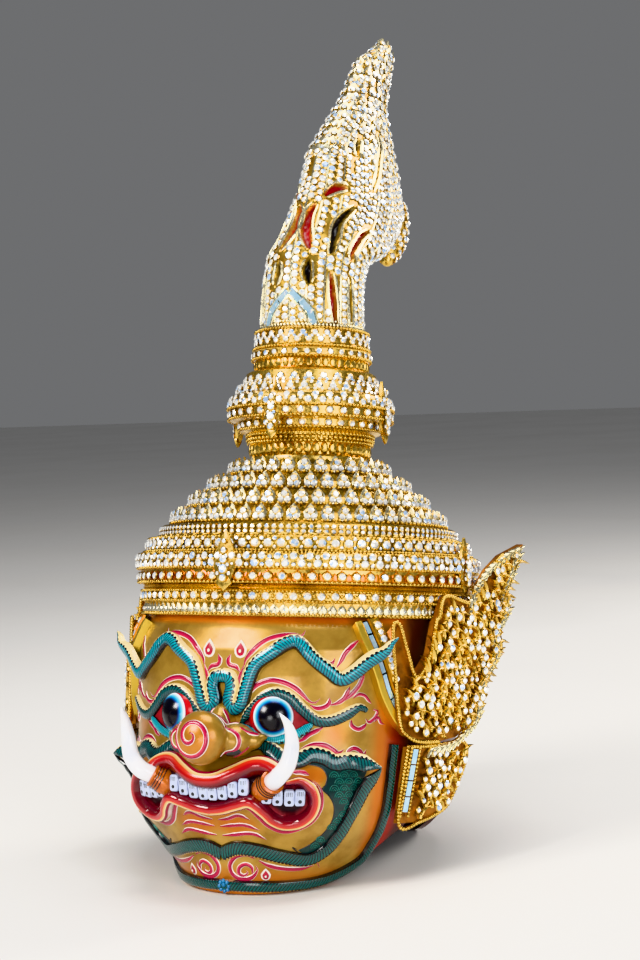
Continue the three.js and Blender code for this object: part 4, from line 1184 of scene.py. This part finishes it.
leaves(crown_pale, 119.6, 0.4, 112, 6.6, 9.4, 9, 4)
leaves(crown_red, 123.2, 22.8, 76, 10.2, 11.2, 8, 6)
leaves(crown_red, 123.0, 23.0, 76, 8, 9.2, 6, 6, 0.5)
copies(beads, SEED, ring_places(120.9, 1.2, 224, (1.4, 1.4, 1.2)))
copies(beads, SEED, ring_places(121.9, 13.9, 80, (1.1, 1.1 * 1.6, 1.1), 0, 0.5))
copies(beads, SEED, ring_places(110.6, 56.6, 66, (4.6, 1.3, 1.6), 0, 0.25))
bead_rows(
    (122.2, 10.4, 300, 0.95), (122.2, 17.3, 300, 0.95), (124.6, 23.4, 228, 1.25), (125.4, 33.4, 288, 1.2),
    (123.6, 43.6, 288, 1.1), (121.2, 45.2, 260, 1.15), (117.8, 54.8, 240, 1.1),
)
gem_rows(
    (120.2, 4.6, 112, 1.4, 0, 0, False), (121.6, 13.9, 80, 2.75), (124.9, 27.6, 76, 2.5, 8),
    (125.7, 36.4, 72, 2.9, -6), (125.9, 41.2, 72, 2.6, 14, 0.5), (125.9, 40.6, 72, 1.6, 10, 0, False),
    (126.0, 35.4, 72, 1.5, -6, 0.5, False), (118.8, 50.4, 80, 3.0, 8),
    (118.9, 47.6, 80, 1.2, 0, 0.5, False), (118.4, 53.6, 80, 1.5, 10, 0.5, False),
    (109.5, 58.8, 132, 1.55, 12, 0.25), (109.5, 62.2, 132, 1.55, 12, 0.25),
)
for radius, foot, count in ((101.5, 66.4, 52), (88.8, 78.8, 46), (75, 91, 39), (59.6, 103.4, 31)):
    leaves(tier_leaves, radius - 1.6, foot, count, 9.8, 13, 7.5, 14)
    # Darker leaves set behind each row: painted shade in the gaps between the leaves
    leaves(tier_dark, radius - 4.2, foot - 0.4, count, 9, 11.6, 6, 14, 0.5)
    bead_rows((radius + 0.5, foot + 0.6, 3 * count, 1.3))
    for shift in (-0.19, 0.19):
        gem_rows((radius + 0.3, foot + 3.2, count, 2.25, 14, shift, False))
    gem_rows((radius - 0.4, foot + 7.2, count, 2.4, 14))
turned("crown_band_gold", [
    (115, 0), (119.4, 0), (120, 1), (118.6, 3), (118.6, 9), (121.6, 9.6), (122.4, 10.4), (121, 11.4),
    (121, 16.2), (122.4, 17.2), (121.4, 18.2), (120, 18.8), (121.2, 19.8), (120, 20.6), (121.2, 21.4),
    (120, 22), (123.6, 22.6), (124.4, 23.6), (122.8, 24.8), (122.8, 32), (125.6, 33.2), (124.6, 34.4),
    (124.6, 43), (121.6, 44), (115, 44),
], GOLD, 144, ("crown_band",))
piece("crown_band_leaves", crown_red, RED_GOLD)
piece("crown_edge_leaves", crown_pale, PALE_GOLD)
# The tiers are in the darker gilding, painted shade between the rows of leaves
turned("tiers_gold", [
    (112, 44.3), (120.5, 44.3), (121.8, 45.2), (120.4, 46.2), (117.6, 46.6), (117.6, 54.6), (117, 55.4),
    (109.4, 55.8), (108.2, 57), (108.2, 64.4), (107, 65.2), (100.4, 65.6), (98.6, 67), (98.6, 72),
    (88.6, 77.6), (86.2, 79), (86.2, 84), (75, 89.8), (72.4, 91), (72.4, 96), (60, 102), (57, 103.4),
    (57, 109), (46, 111.4), (44, 111.4), (44, 106), (54, 100), (70, 88), (96, 66), (112, 52),
], SHADE_GOLD, 144, ("crown_tiers",))
piece("tier_leaves", tier_leaves, PALE_GOLD)
piece("tier_back_leaves", tier_dark, SHADE_GOLD)

copies(flutes, SEED, ring_places(43.2, 121.8, 44, (3.1, 5.4, 2.6)))
copies(flutes, SEED, ring_places(41.2, 184.8, 44, (3.0, 4.2, 2.2)))
leaves(flutes, 47.4, 171, 29, 9.6, 9.4, 6, 8, 0.5)
bead_rows(
    (45.9, 127.3, 96, 1.3), (46.4, 129.9, 72, 1.7), (46.9, 133, 88, 1.5), (53.2, 136.8, 120, 1.25),
    (61.0, 144.5, 132, 1.25), (61.6, 152.4, 132, 1.2), (44.2, 189.4, 100, 1.1), (43.4, 197.2, 96, 1.1),
    (42.2, 210, 96, 1.15),
)
gem_rows(
    (52.9, 139.9, 35, 2.5, -14), (60.4, 148.2, 36, 2.6, -8), (60.9, 155.4, 36, 2.6, 4, 0.5),
    (59.6, 159.4, 36, 2.5, 22), (61.2, 156.6, 36, 1.4, 6, 0, False), (54.9, 166.2, 33, 2.6, 14),
    (55.4, 163.8, 66, 1.4, 14, 0.5, False), (54.6, 168.9, 66, 1.3, 14, 0, False), (48.9, 174, 29, 2.6, 8),
    (49.3, 171.6, 58, 1.4, 8, 0.5, False), (44.1, 192.4, 32, 2.1), (41.9, 201.6, 30, 2.2),
    (41.9, 206.6, 30, 2.2, 0, 0.5), (42.1, 204.1, 60, 1.2, 0, 0.5, False),
)
turned("bulb_gold", [
    (0.5, 111.9), (43, 111.9), (43.4, 116), (43, 117), (42.4, 118), (43, 126), (45.8, 126.4), (46.6, 127.4),
    (45, 128.4), (45, 131), (46.6, 131.6), (46.8, 133.6), (51.6, 135.4), (53.4, 136.6), (52.4, 137.6),
    (52.6, 142.4), (58.6, 143.4), (60.8, 144.6), (59.8, 145.6), (60, 151), (61.8, 152.2), (60.8, 153.2),
    (60.8, 157), (59.6, 160.6), (57.4, 162.4), (54.6, 163.4), (54.4, 169), (51.4, 170.4), (48.6, 171.4),
    (48.4, 178.6), (46, 180.2), (0.5, 180.2),
], GOLD, 96, ("crown_bulb",))
turned("collar_gold", [
    (0.5, 180.6), (41, 180.6), (41.6, 182), (41, 188), (43.4, 189), (44.4, 190), (43.8, 191), (43.8, 194.4),
    (44.4, 195.4), (42.8, 196.2), (43.6, 197.2), (42.6, 198.4), (41.6, 199), (41.4, 209.4), (42.4, 210.2),
    (41, 210.8), (0.5, 210.8),
], GOLD, 96, ("finial_collar",))
piece("fluted_rings", flutes, GOLD)


def bosses():
    """The four pointed ornaments on the band and on the bulb, each a tall leaf with stones."""
    for radius, foot, width, height, lean in ((126.6, 21.5, 17, 37, 2), (61.6, 131, 12, 42, 4)):
        leaves(settings, radius, foot, 4, width, height, 9, lean)
        for point, across, up, out, size in ring_places(radius, foot + 5, 4, (width * 0.7, 9, 7), lean):
            copies(settings, LEAF, [(point, across, -up, out, size)])
        for k, size in enumerate((2.4, 3.2, 2.6, 2.0, 1.5)):
            gem_rows((radius + 1.9 - 0.25 * k, foot + height * (0.12 + 0.17 * k), 4, size, lean))
        for side in (-1, 1):
            for k in range(3):
                shift = side * (0.26 - 0.07 * k) * width / radius / (2 * math.pi) * 4
                gem_rows((radius + 1.5, foot + height * (0.2 + 0.16 * k), 4, 1.3, lean, shift, False))


bosses()


# ---- plume ----

PLUME_LEVELS = np.array([
    # height, front, back, half width
    (211.4, -37.6, 37.6, 37.5), (236, -36.8, 36.6, 36.4), (250, -35.6, 38.4, 36), (268, -33, 50.4, 35.6),
    (281, -26.4, 88.4, 34.6), (299, -16.6, 114.8, 32.3), (319, -7.2, 133.6, 29.3), (337, 0, 131.8, 26.3),
    (352, 6.1, 125.4, 23.3), (375, 28.2, 116, 18.8), (404, 54.2, 108.4, 12), (418, 62.5, 114.8, 10.5),
    (433, 72.3, 121.2, 8.3), (449.5, 97.1, 127.2, 5.3), (463.4, 118.6, 122.4, 0.8),
])
# Hollows between the ribs: degrees from the front edge and height, width, and 1 for a black lining, which is
# painted shade for the dark inside of an open slot
HOLLOWS = [
    ([(11.8, 306), (6.6, 296), (8.8, 284.5), (19.7, 269.7)], 8, 0),
    ([(44.4, 322), (32.5, 320.6), (21.7, 313.9)], 7, 0),
    ([(54.8, 307), (45.3, 297.7), (41.5, 287), (46.3, 265.8)], 8, 1),
    ([(77.6, 291), (69.8, 283), (70.1, 274.6), (73.5, 263.5)], 7.6, 0),
    ([(20.3, 260.4), (19.1, 252.8), (22.3, 243)], 7, 1),
    ([(47.7, 251.3), (51.4, 231.3), (54.1, 213)], 5.6, 0),
    ([(73.5, 249.4), (75.8, 233), (76.3, 213)], 4.4, 1),
    ([(53, 365.4), (54.2, 357.3), (56.9, 350.7)], 7, 1),
    ([(85.4, 375.7), (89.1, 361), (81.5, 342.7), (72.7, 326)], 5.4, 1),
]


def plume_at(z):
    z = np.asarray(z, float)
    return [np.interp(z, PLUME_LEVELS[:, 0], PLUME_LEVELS[:, k]) for k in (1, 2, 3)]


def plume_span(turn, z):
    front, back, width = plume_at(z)
    return np.hypot(width * np.cos(turn), 0.5 * (back - front) * np.sin(turn))


def plume_point(turn, z):
    """A point on the plume's skin, with turn 0 at its front edge, and its outward direction."""
    def at(a, h):
        front, back, width = plume_at(h)
        middle, half = 0.5 * (front + back), 0.5 * (back - front)
        return np.stack([width * np.sin(a), middle - half * np.cos(a), HEAD_HEIGHT + h + 0 * a], -1)
    point = at(turn, z)
    sideways = at(turn + 0.03, z) - at(turn - 0.03, z)
    upwards = at(turn, z + 1.5) - at(turn, z - 1.5)
    return point, unit(np.cross(sideways, upwards))


def hollow_lines():
    """Fine points down each hollow, on both sides of the plume, with its half width there."""
    lines = []
    for way, width, black in HOLLOWS:
        line = smooth_way(way, 22)
        half = 0.5 * width * np.sqrt(np.sin(np.pi * np.linspace(0.04, 0.96, len(line))))
        for side in (1, -1):
            lines.append((np.radians(line[:, 0]) * side, line[:, 1], half, black))
    return lines


HOLLOW_LINES = hollow_lines()


def hollow_depth(turn, z):
    """How far points lie inside the nearest hollow, negative outside, and whether it is lined black as
    painted shade.
    """
    turn, z = np.broadcast_arrays(np.asarray(turn, float), np.asarray(z, float))
    turn = np.arctan2(np.sin(turn), np.cos(turn))
    span = plume_span(turn, z)
    best, black = np.full(turn.shape, -1e9), np.zeros(turn.shape)
    for way_turn, way_z, half, dark in HOLLOW_LINES:
        for a, h, w in zip(way_turn, way_z, half):
            inside = w - np.hypot((turn - a) * span, z - h)
            black = np.where(inside > best, dark, black)
            best = np.maximum(best, inside)
    return best, black


def plume_body():
    columns, heights = 160, np.linspace(PLUME_LEVELS[0, 0], PLUME_LEVELS[-1, 0], 170)
    turn = np.linspace(0, 2 * math.pi, columns, endpoint=False)
    depths, blacks, rings = [], [], []
    for z in heights:
        point, out = plume_point(turn, np.full(columns, z))
        depth, black = hollow_depth(turn, z)
        sunk = 4.0 * eased(0, 1.5, depth) * min(1.0, plume_at(z)[2] / 12)
        rings.append(point - out * sunk[:, None])
        depths.append(depth)
        blacks.append(black)
    form = Form()
    form.add(np.vstack(rings), body_faces(len(heights), columns))
    body = piece("plume_body", form, make_plume_gold(), ("finial_plume",))
    mark(body, hollow=eased(0.1, 0.9, np.concatenate(depths)), black=np.concatenate(blacks))


def tube(form, points, outs, radius, steps=70, sides=8):
    """A round cord laid along points on a surface."""
    line = smooth_way(np.hstack([points, outs]), steps)
    centre, out = line[:, :3], unit(line[:, 3:])
    across = unit(np.cross(unit(np.gradient(centre, axis=0)), out))
    share = np.linspace(0, 1, len(line))
    size = radius * np.minimum(1, 0.35 + 0.65 * 8 * np.minimum(share, 1 - share))
    rings = [ring(*row, sides) for row in zip(centre, across, out, size)]
    form.add(np.vstack(rings), body_faces(len(line), sides))


def tiles_along(form, points, outs, width, length, lift=0.0):
    """A row of mirror pieces, each lying flat along the way."""
    line = smooth_way(np.hstack([points, outs]), 60)
    run = length_along(line[:, :3])
    count = max(1, int(run[-1] / length))
    step = run[-1] / count
    for k in range(count):
        i = int(np.searchsorted(run, (k + 0.5) * step))
        ahead = unit(line[min(i + 2, 60), :3] - line[max(i - 2, 0), :3])
        out = unit(line[i, 3:])
        across = unit(np.cross(ahead, out))
        copies(form, TILE, [(line[i, :3] + out * lift, across, ahead, out, (width, step * 0.92, 1.2))])


plume_body()
HOOK_WAY = smooth_way([(99.6, 342.3), (128.4, 324.7), (136.0, 304.5), (130.8, 288)], 40)
HOOK_AHEAD = unit(np.gradient(HOOK_WAY, axis=0))
HOOK_RADIUS = 37.6 * (0.5 - 0.3 * np.linspace(0, 1, len(HOOK_WAY)) ** 4) - 2.4


def hook():
    """The curl at the plume's back, with a round end."""
    places = [(*spot, 0, r) for spot, r in zip(zip(HOOK_WAY, HOOK_AHEAD), HOOK_RADIUS)]
    r = HOOK_RADIUS[-1]
    for bow in (0.4, 0.8, 1.15, 1.45):
        places.append((HOOK_WAY[-1], HOOK_AHEAD[-1], r * math.sin(bow), r * math.cos(bow)))
    rings = []
    for (y, z), (dy, dz), on, radius in places:
        middle = np.array([0, y + dy * on, HEAD_HEIGHT + z + dz * on])
        rings.append(ring(middle, np.array([1, 0, 0]), np.array([0, -dz, dy]), radius, 28))
    form = Form()
    form.add(np.vstack(rings), body_faces(len(rings), 28))
    return form


piece("plume_hook", hook(), GOLD)
plume_gems, plume_rings, rib_form, tip_leaves, mirrors = (Form() for _ in range(5))
UPRIGHT = np.array([0, 0.3, 1.0])


def set_stone(point, out, up, size):
    up = unit(up - out * np.dot(up, out))
    copies(plume_gems, GEM, [(point + out * 0.6, *askew(up, out, 0.14), (size, size, size * 0.9))])
    copies(plume_rings, SETTING, [(point + out * 0.35, np.cross(up, out), up, out, (size, size, size))])


def column_stones(columns):
    """Columns of stones up the ribs, every other one dropped where the plume narrows."""
    for k in range(columns):
        a = (k + 0.5) * 2 * math.pi / columns
        z = 216.0 + 2.8 * (k % 2)
        while z < 458:
            span = plume_span(a, z) * 2 * math.pi / columns
            keep = span > 4.9 or (span > 2.4 and k % 2 == 0) or k % 4 == 0
            if keep and hollow_depth(a, z)[0] < -2.4:
                set_stone(*plume_point(a, z), UPRIGHT, 2.7 if (k + int(z / 5.6)) % 3 else 2.2)
            b = a + math.pi / columns
            if span > 9.0 and hollow_depth(b, z)[0] < -2.4:
                set_stone(*plume_point(b, z + 2.6), UPRIGHT, 2.2)
            z += 5.7


def rib_cords(columns):
    """Cords between the columns, broken off at the hollows, and a cord round each hollow."""
    for a in np.arange(0, columns, 2) * 2 * math.pi / columns:
        heights = np.linspace(213, 372, 54)
        keep = [*(hollow_depth(np.full(54, a), heights)[0] < -1.0), False]
        start = None
        for i, kept in enumerate(keep):
            if kept:
                start = i if start is None else start
            elif start is not None:
                if i - start > 3:
                    point, out = plume_point(np.full(i - start, a), heights[start:i])
                    tube(rib_form, point + out * 0.5, out, 1.15, 2 * (i - start), 5)
                start = None
    for a, h, w, _ in HOLLOW_LINES:
        for edge in (1, -1):
            span = plume_span(a, h)
            ahead = unit(np.stack([np.gradient(a) * span, np.gradient(h)], 1)) * edge * (w + 1.0)[:, None]
            point, out = plume_point(a - ahead[:, 1] / span, h + ahead[:, 0])
            tube(rib_form, point + out * 0.7, out, 1.3, 30, 6)


def tip_stones():
    """Rings of small leaves up to the tip, each with a stone."""
    for i, z in enumerate(np.arange(346, 458, 8.5)):
        front, back, width = plume_at(z)
        count = max(4, int(2 * math.pi * math.sqrt((width ** 2 + (0.5 * (back - front)) ** 2) / 2) / 10))
        for k in range(count):
            a = (k + 0.5 * (i % 2)) * 2 * math.pi / count
            if hollow_depth(a, z + 4)[0] > -4:
                continue
            point, out = plume_point(a, z)
            steep = np.array([0, 0.35, 1.0])
            up = unit(steep - out * np.dot(out, steep))
            across, lean = np.cross(up, out), unit(up + out * 0.12)
            axes = across, lean, np.cross(across, lean)
            copies(tip_leaves, LEAF, [(point + out * 0.5, *axes, (8.4, 11, 5))])
            set_stone(point + out * 1.7 + up * 3.2, out, up, 2.1)


def hook_stones():
    for k in range(0, len(HOOK_WAY), 3):
        (y, h), (dy, dz), r = HOOK_WAY[k], HOOK_AHEAD[k], HOOK_RADIUS[k]
        _, back, width = plume_at(h)
        count = max(4, int(2 * math.pi * r / 6.4))
        for i in range(count):
            a = (i + 0.5 * (k % 2)) * 2 * math.pi / count
            out = np.array([math.cos(a), -dz * math.sin(a), dy * math.sin(a)])
            point = np.array([0, y, HEAD_HEIGHT + h]) + out * r
            if y + out[1] * r >= back - 3 or abs(point[0]) >= width * 0.8:
                set_stone(point, out, np.array([0, dy, dz]), 2.4)


column_stones(36)
rib_cords(36)
tip_stones()
hook_stones()
arm = [(1.5, 237.5), (7.6, 233.5), (22.1, 223.8), (29.1, 212.5)]
for way in ([(-a, h) for a, h in arm[::-1]], arm):
    fine = smooth_way(way, 12)
    point, out = plume_point(np.radians(fine[:, 0]), fine[:, 1])
    tiles_along(mirrors, point, out, 4.6, 8, 1.6)
    side = unit(np.cross(np.gradient(point, axis=0), out))
    for shift in (3.36, -3.36):
        tube(rib_form, point + side * shift + out * 1.6, out, 0.9, 24, 6)
copies(rib_form, SEED, ring_places(38.4, 212.6, 84, (1.5, 1.7, 1.6)))
copies(rib_form, SEED, ring_places(37.6, 215.4, 84, (1.4, 1.2, 1.5), 0, 0.5))
piece("plume_ribs", rib_form, PALE_GOLD)
piece("plume_leaves", tip_leaves, PALE_GOLD)
piece("plume_stones", plume_gems, STONE, smooth=1)
piece("plume_settings", plume_rings, GOLD, smooth=50)


# ---- ear ornaments ----

def ear_face(y, z):
    return (130 + 0.22 * y - 0.0075 * np.minimum(y + 40, 0) ** 2 + 0.0013 * np.maximum(y, 0) ** 2
            - 0.18 * np.maximum(105.07 - z, 0))


EAR_OUTLINE = [
    (-70, 122), (-64, 110), (-54, 106), (-36, 105.5), (-15, 108), (0, 116), (15, 126), (22, 150), (38, 172),
    (35, 184), (48, 203), (43, 211), (51, 228), (58, 246), (36, 237), (21, 226), (10, 213), (8, 204),
    (-4, 202), (-30, 206), (-36, 192), (-40, 188), (-46, 166), (-58, 150), (-66, 170), (-71, 186),
    (-75, 180),
]
PANEL_OUTLINE = [
    (-63, 102.5), (-34, 103), (-6, 104), (1, 93), (-3, 78), (-8, 66), (-16, 57), (-41, 50), (-60, 50),
]


def plate(form, outline, thickness):
    """A flat board of the outline, bent as the ear's face is, on both sides of the head."""
    count = len(outline)
    y, z = np.array(outline, float).T
    front = np.stack([ear_face(y, z), y, z], 1)
    faces = [tuple(range(count)), tuple(range(count, 2 * count))[::-1]]
    faces += [(i, count + i, count + (i + 1) % count, (i + 1) % count) for i in range(count)]
    form.add(np.vstack([front, front - (thickness, 0, 0)]), faces, mirror=True)


def ear_place(y, z, side, lift, spin=0.0, size=(1, 1, 1)):
    slope = (ear_face(y + 1, z) - ear_face(y - 1, z)) / 2
    out, along = unit(np.array([1.0, -slope, 0.0])), unit(np.array([slope, 1.0, 0]))
    c, s = math.cos(spin), math.sin(spin)
    point = np.array([float(ear_face(y, z)), y, z]) + out * lift
    return (*(v * (side, 1, 1) for v in (point, along * c - UP * s, UP * c + along * s, out)), size)


def flame(form, y, z, side, angle, length, width, height=2.6, curl=0.35, lift=0.2):
    """A carved tongue that bends as it narrows to its point, seen face on at an angle from upright."""
    t = np.linspace(0, 1, 6)
    bend = angle + curl * (t - 0.35)
    way = zip(y + length * t * np.sin(bend), z + length * t * np.cos(bend))
    spots = [ear_place(*spot, side, lift) for spot in way]
    traced(form, [(spot[0], spot[3]) for spot in spots], width, height, 9, (0.45, 0.03), 0.62)


ear_gold, ear_curls, ear_edges = Form(), Form(), Form()


def stone_at(point, across, up, out, size):
    for form, shape in ((stones, GEM), (settings, SETTING)):
        copies(form, shape, [(point, across, up, out, (size, size, size))])


def cover(outline, side, step, tip, low, high):
    """Fills an outline with overlapping flames that point to the tip, with stones among them."""
    z, row = low, 0
    while z < high:
        y = -78 + (row % 2) * step * 0.5
        while y < 60:
            depth = depth_in(outline, y, z)
            if depth > 1.8:
                lean = 1 if (row // 2 + int((y + 80) / step)) % 2 else -1
                y1, z1 = y + random.uniform(-1.3, 1.3), z + random.uniform(-1.3, 1.3)
                angle = 0.8 * math.atan2(tip[0] - y, tip[1] - z) + lean * 0.34 + random.uniform(-0.15, 0.15)
                length = random.uniform(1.7, 2.2) * step
                if depth_in(outline, y + length * math.sin(angle), z + length * math.cos(angle)) > 0:
                    flame(ear_curls, y1, z1, side, angle, length, 0.72 * step, 3.2, lean * 1.1)
                if depth > 3 and random.random() < 0.6:
                    size = random.choice((1.8, 2.3, 2.7))
                    stone_at(*ear_place(y1, z1, side, 3.0, random.uniform(-0.3, 0.3))[:4], size)
            y += step
        z += 0.78 * step
        row += 1


plate(ear_gold, EAR_OUTLINE, 5)
plate(ear_gold, PANEL_OUTLINE, 4)
for side in (1, -1):
    cover(EAR_OUTLINE, side, 7.2, (62, 270), 108, 243)
    cover([(-50, 102.5), *PANEL_OUTLINE[1:-1], (-50, 50)], side, 7, (-40, 170), 53, 101)
    for y, z in smooth_way(EAR_OUTLINE[3:18], 46):
        flame(ear_edges, y - 6, z - 9.4, side, 0.5, 11, 4.4, 2.2, 0.3, 0)
        flame(ear_edges, y - 11, z - 11, side, 0.45, 12, 4.2, 2.8, 0.5, 0.4)
    for row, lift, size in (
        (smooth_way(EAR_OUTLINE[14:] + EAR_OUTLINE[:4], 150), 0.2, (1.5, 1.7, 1.6)),
        (smooth_way(PANEL_OUTLINE + PANEL_OUTLINE[:1], 90), -0.2, (1.5, 1.6, 1.6)),
        ([(y, z) for y in (-60.8, -54.4) for z in np.arange(55, 103, 2.6)], 1.0, (1.2, 1.4, 1.3)),
    ):
        copies(beads, SEED, [ear_place(y, z, side, lift, 0, size) for y, z in row])
    strip = [ear_place(-57.6, z, side, 0) for z in np.linspace(57, 101, 5)]
    tiles_along(mirrors, [spot[0] for spot in strip], [spot[3] for spot in strip], 4.2, 9, 0.8)

piece("ear_plates", ear_gold, EAR_GILDING,
      ("ear_ornament_left", "ear_ornament_right", "ear_panel_left", "ear_panel_right"))
piece("ear_curls", ear_curls, GOLD)
piece("ear_edge_flames", ear_edges, PALE_GOLD)

STRAP = [(46.6, 186), (48.8, 172), (51.6, 155), (54.4, 140), (58.4, 127), (63.6, 117.5)]
strap_form = Form()
moulded(strap_form, STRAP, 20, 5.6, ends=(0.95, 0.95), section=[
    (-1, -0.5), (-0.98, 0.85), (-0.9, 1), (-0.2, 0.95), (-0.14, 1.2), (-0.04, 1.2), (0, 0.75), (0.42, 0.75),
    (0.45, 0.98), (0.52, 1.05), (0.9, 1.0), (0.98, 0.9), (1, -0.5),
])
piece("ear_straps", strap_form, make_strap(), smooth=25)


def strap_stones(side):
    """A strip of mirrors down the strap, and stones beside it."""
    way = smooth_way(STRAP, 16)
    turn, z = np.radians(way[:, 0]), way[:, 1]
    out, line, flip = head_normal(turn, z), on_head(turn, z), (side, 1, 1)
    across = unit(np.cross(np.gradient(line, axis=0), out))
    tiles_along(mirrors, (line + across * 2.2 + out * 4.6) * flip, out * flip, 3.4, 9)
    for k in range(1, 16):
        spot = (line[k] - across[k] * 6.2 + out[k] * 5.6) * flip
        normal, wide = out[k] * flip, across[k] * flip
        stone_at(spot, wide, unit(np.cross(normal, wide)), normal, 2.7 if k % 2 else 2.0)


for side in (1, -1):
    strap_stones(side)
piece("mirror_strips", mirrors, MIRROR, smooth=1)
piece("stones", stones, STONE, smooth=1)
piece("stone_settings", settings, GOLD, smooth=50)
piece("gold_beads", beads, GOLD, smooth=60)


# ---- studio ----

def studio():
    deselect()
    bpy.ops.mesh.primitive_plane_add(size=14, location=(0, 0, 0))
    floor = active()
    floor.name = "floor"
    pale = make_plain("pale_floor", (0.78, 0.77, 0.75), (0.75, 0.74, 0.72), 0.6, 0, 0, 3, 0.02)
    floor.data.materials.append(pale)
    world = bpy.data.worlds.new("studio")
    bpy.context.scene.world = world
    world.use_nodes = True
    sky = world.node_tree.nodes["Background"].inputs
    sky[0].default_value, sky[1].default_value = rgb(0.80, 0.81, 0.83), 0.24
    bpy.context.scene.view_settings.view_transform = "Khronos PBR Neutral"
    middle = Vector((0, -0.04, 0.3))
    for name, place, size, power, colour in (
        ("key", (-0.9, -1.7, 1.5), 0.8, 44, (1, 0.97, 0.94)),
        ("fill", (1.7, -1.2, 0.7), 1.0, 20, (0.95, 0.97, 1)),
        ("top", (0.2, 0.1, 2.2), 1.2, 26, (1, 1, 1)),
        ("rim", (1.2, 1.5, 1.2), 0.7, 30, (1, 0.95, 0.9)),
        ("low", (0.3, -1.9, 0.15), 0.6, 8, (1, 0.98, 0.96)),
    ):
        light = bpy.data.lights.new(name, "AREA")
        light.size, light.energy, light.color = size, power, colour
        lamp = bpy.data.objects.new(name, light)
        bpy.context.scene.collection.objects.link(lamp)
        lamp.location = place
        lamp.rotation_euler = (middle - Vector(place)).to_track_quat("-Z", "Y").to_euler()


def camera():
    turn, yaw, tilt, roll = math.radians(27), math.radians(-0.299), math.radians(3.876), 0.0176
    eye = Vector((1500 * math.sin(turn), -1500 * math.cos(turn), 190))
    right = Vector((math.cos(turn + yaw), math.sin(turn + yaw), 0))
    level = Vector((-math.sin(turn + yaw), math.cos(turn + yaw), 0))
    forward = level * math.cos(tilt) + Vector((0, 0, 1)) * math.sin(tilt)
    up = Vector((0, 0, 1)) * math.cos(tilt) - level * math.sin(tilt)
    across = right * math.cos(roll) + up * math.sin(roll)
    rise = up * math.cos(roll) - right * math.sin(roll)
    tilted = STAND.to_3x3().normalized()
    data = bpy.data.cameras.new("camera")
    data.sensor_fit, data.sensor_height = "VERTICAL", 36
    data.lens = 36 * 2025 / 960
    obj = bpy.data.objects.new("camera", data)
    bpy.context.scene.collection.objects.link(obj)
    axes = Matrix((tilted @ across, tilted @ rise, -(tilted @ forward))).transposed()
    obj.matrix_world = Matrix.Translation(STAND @ eye) @ axes.to_4x4()
    bpy.context.scene.camera = obj


studio()
camera()
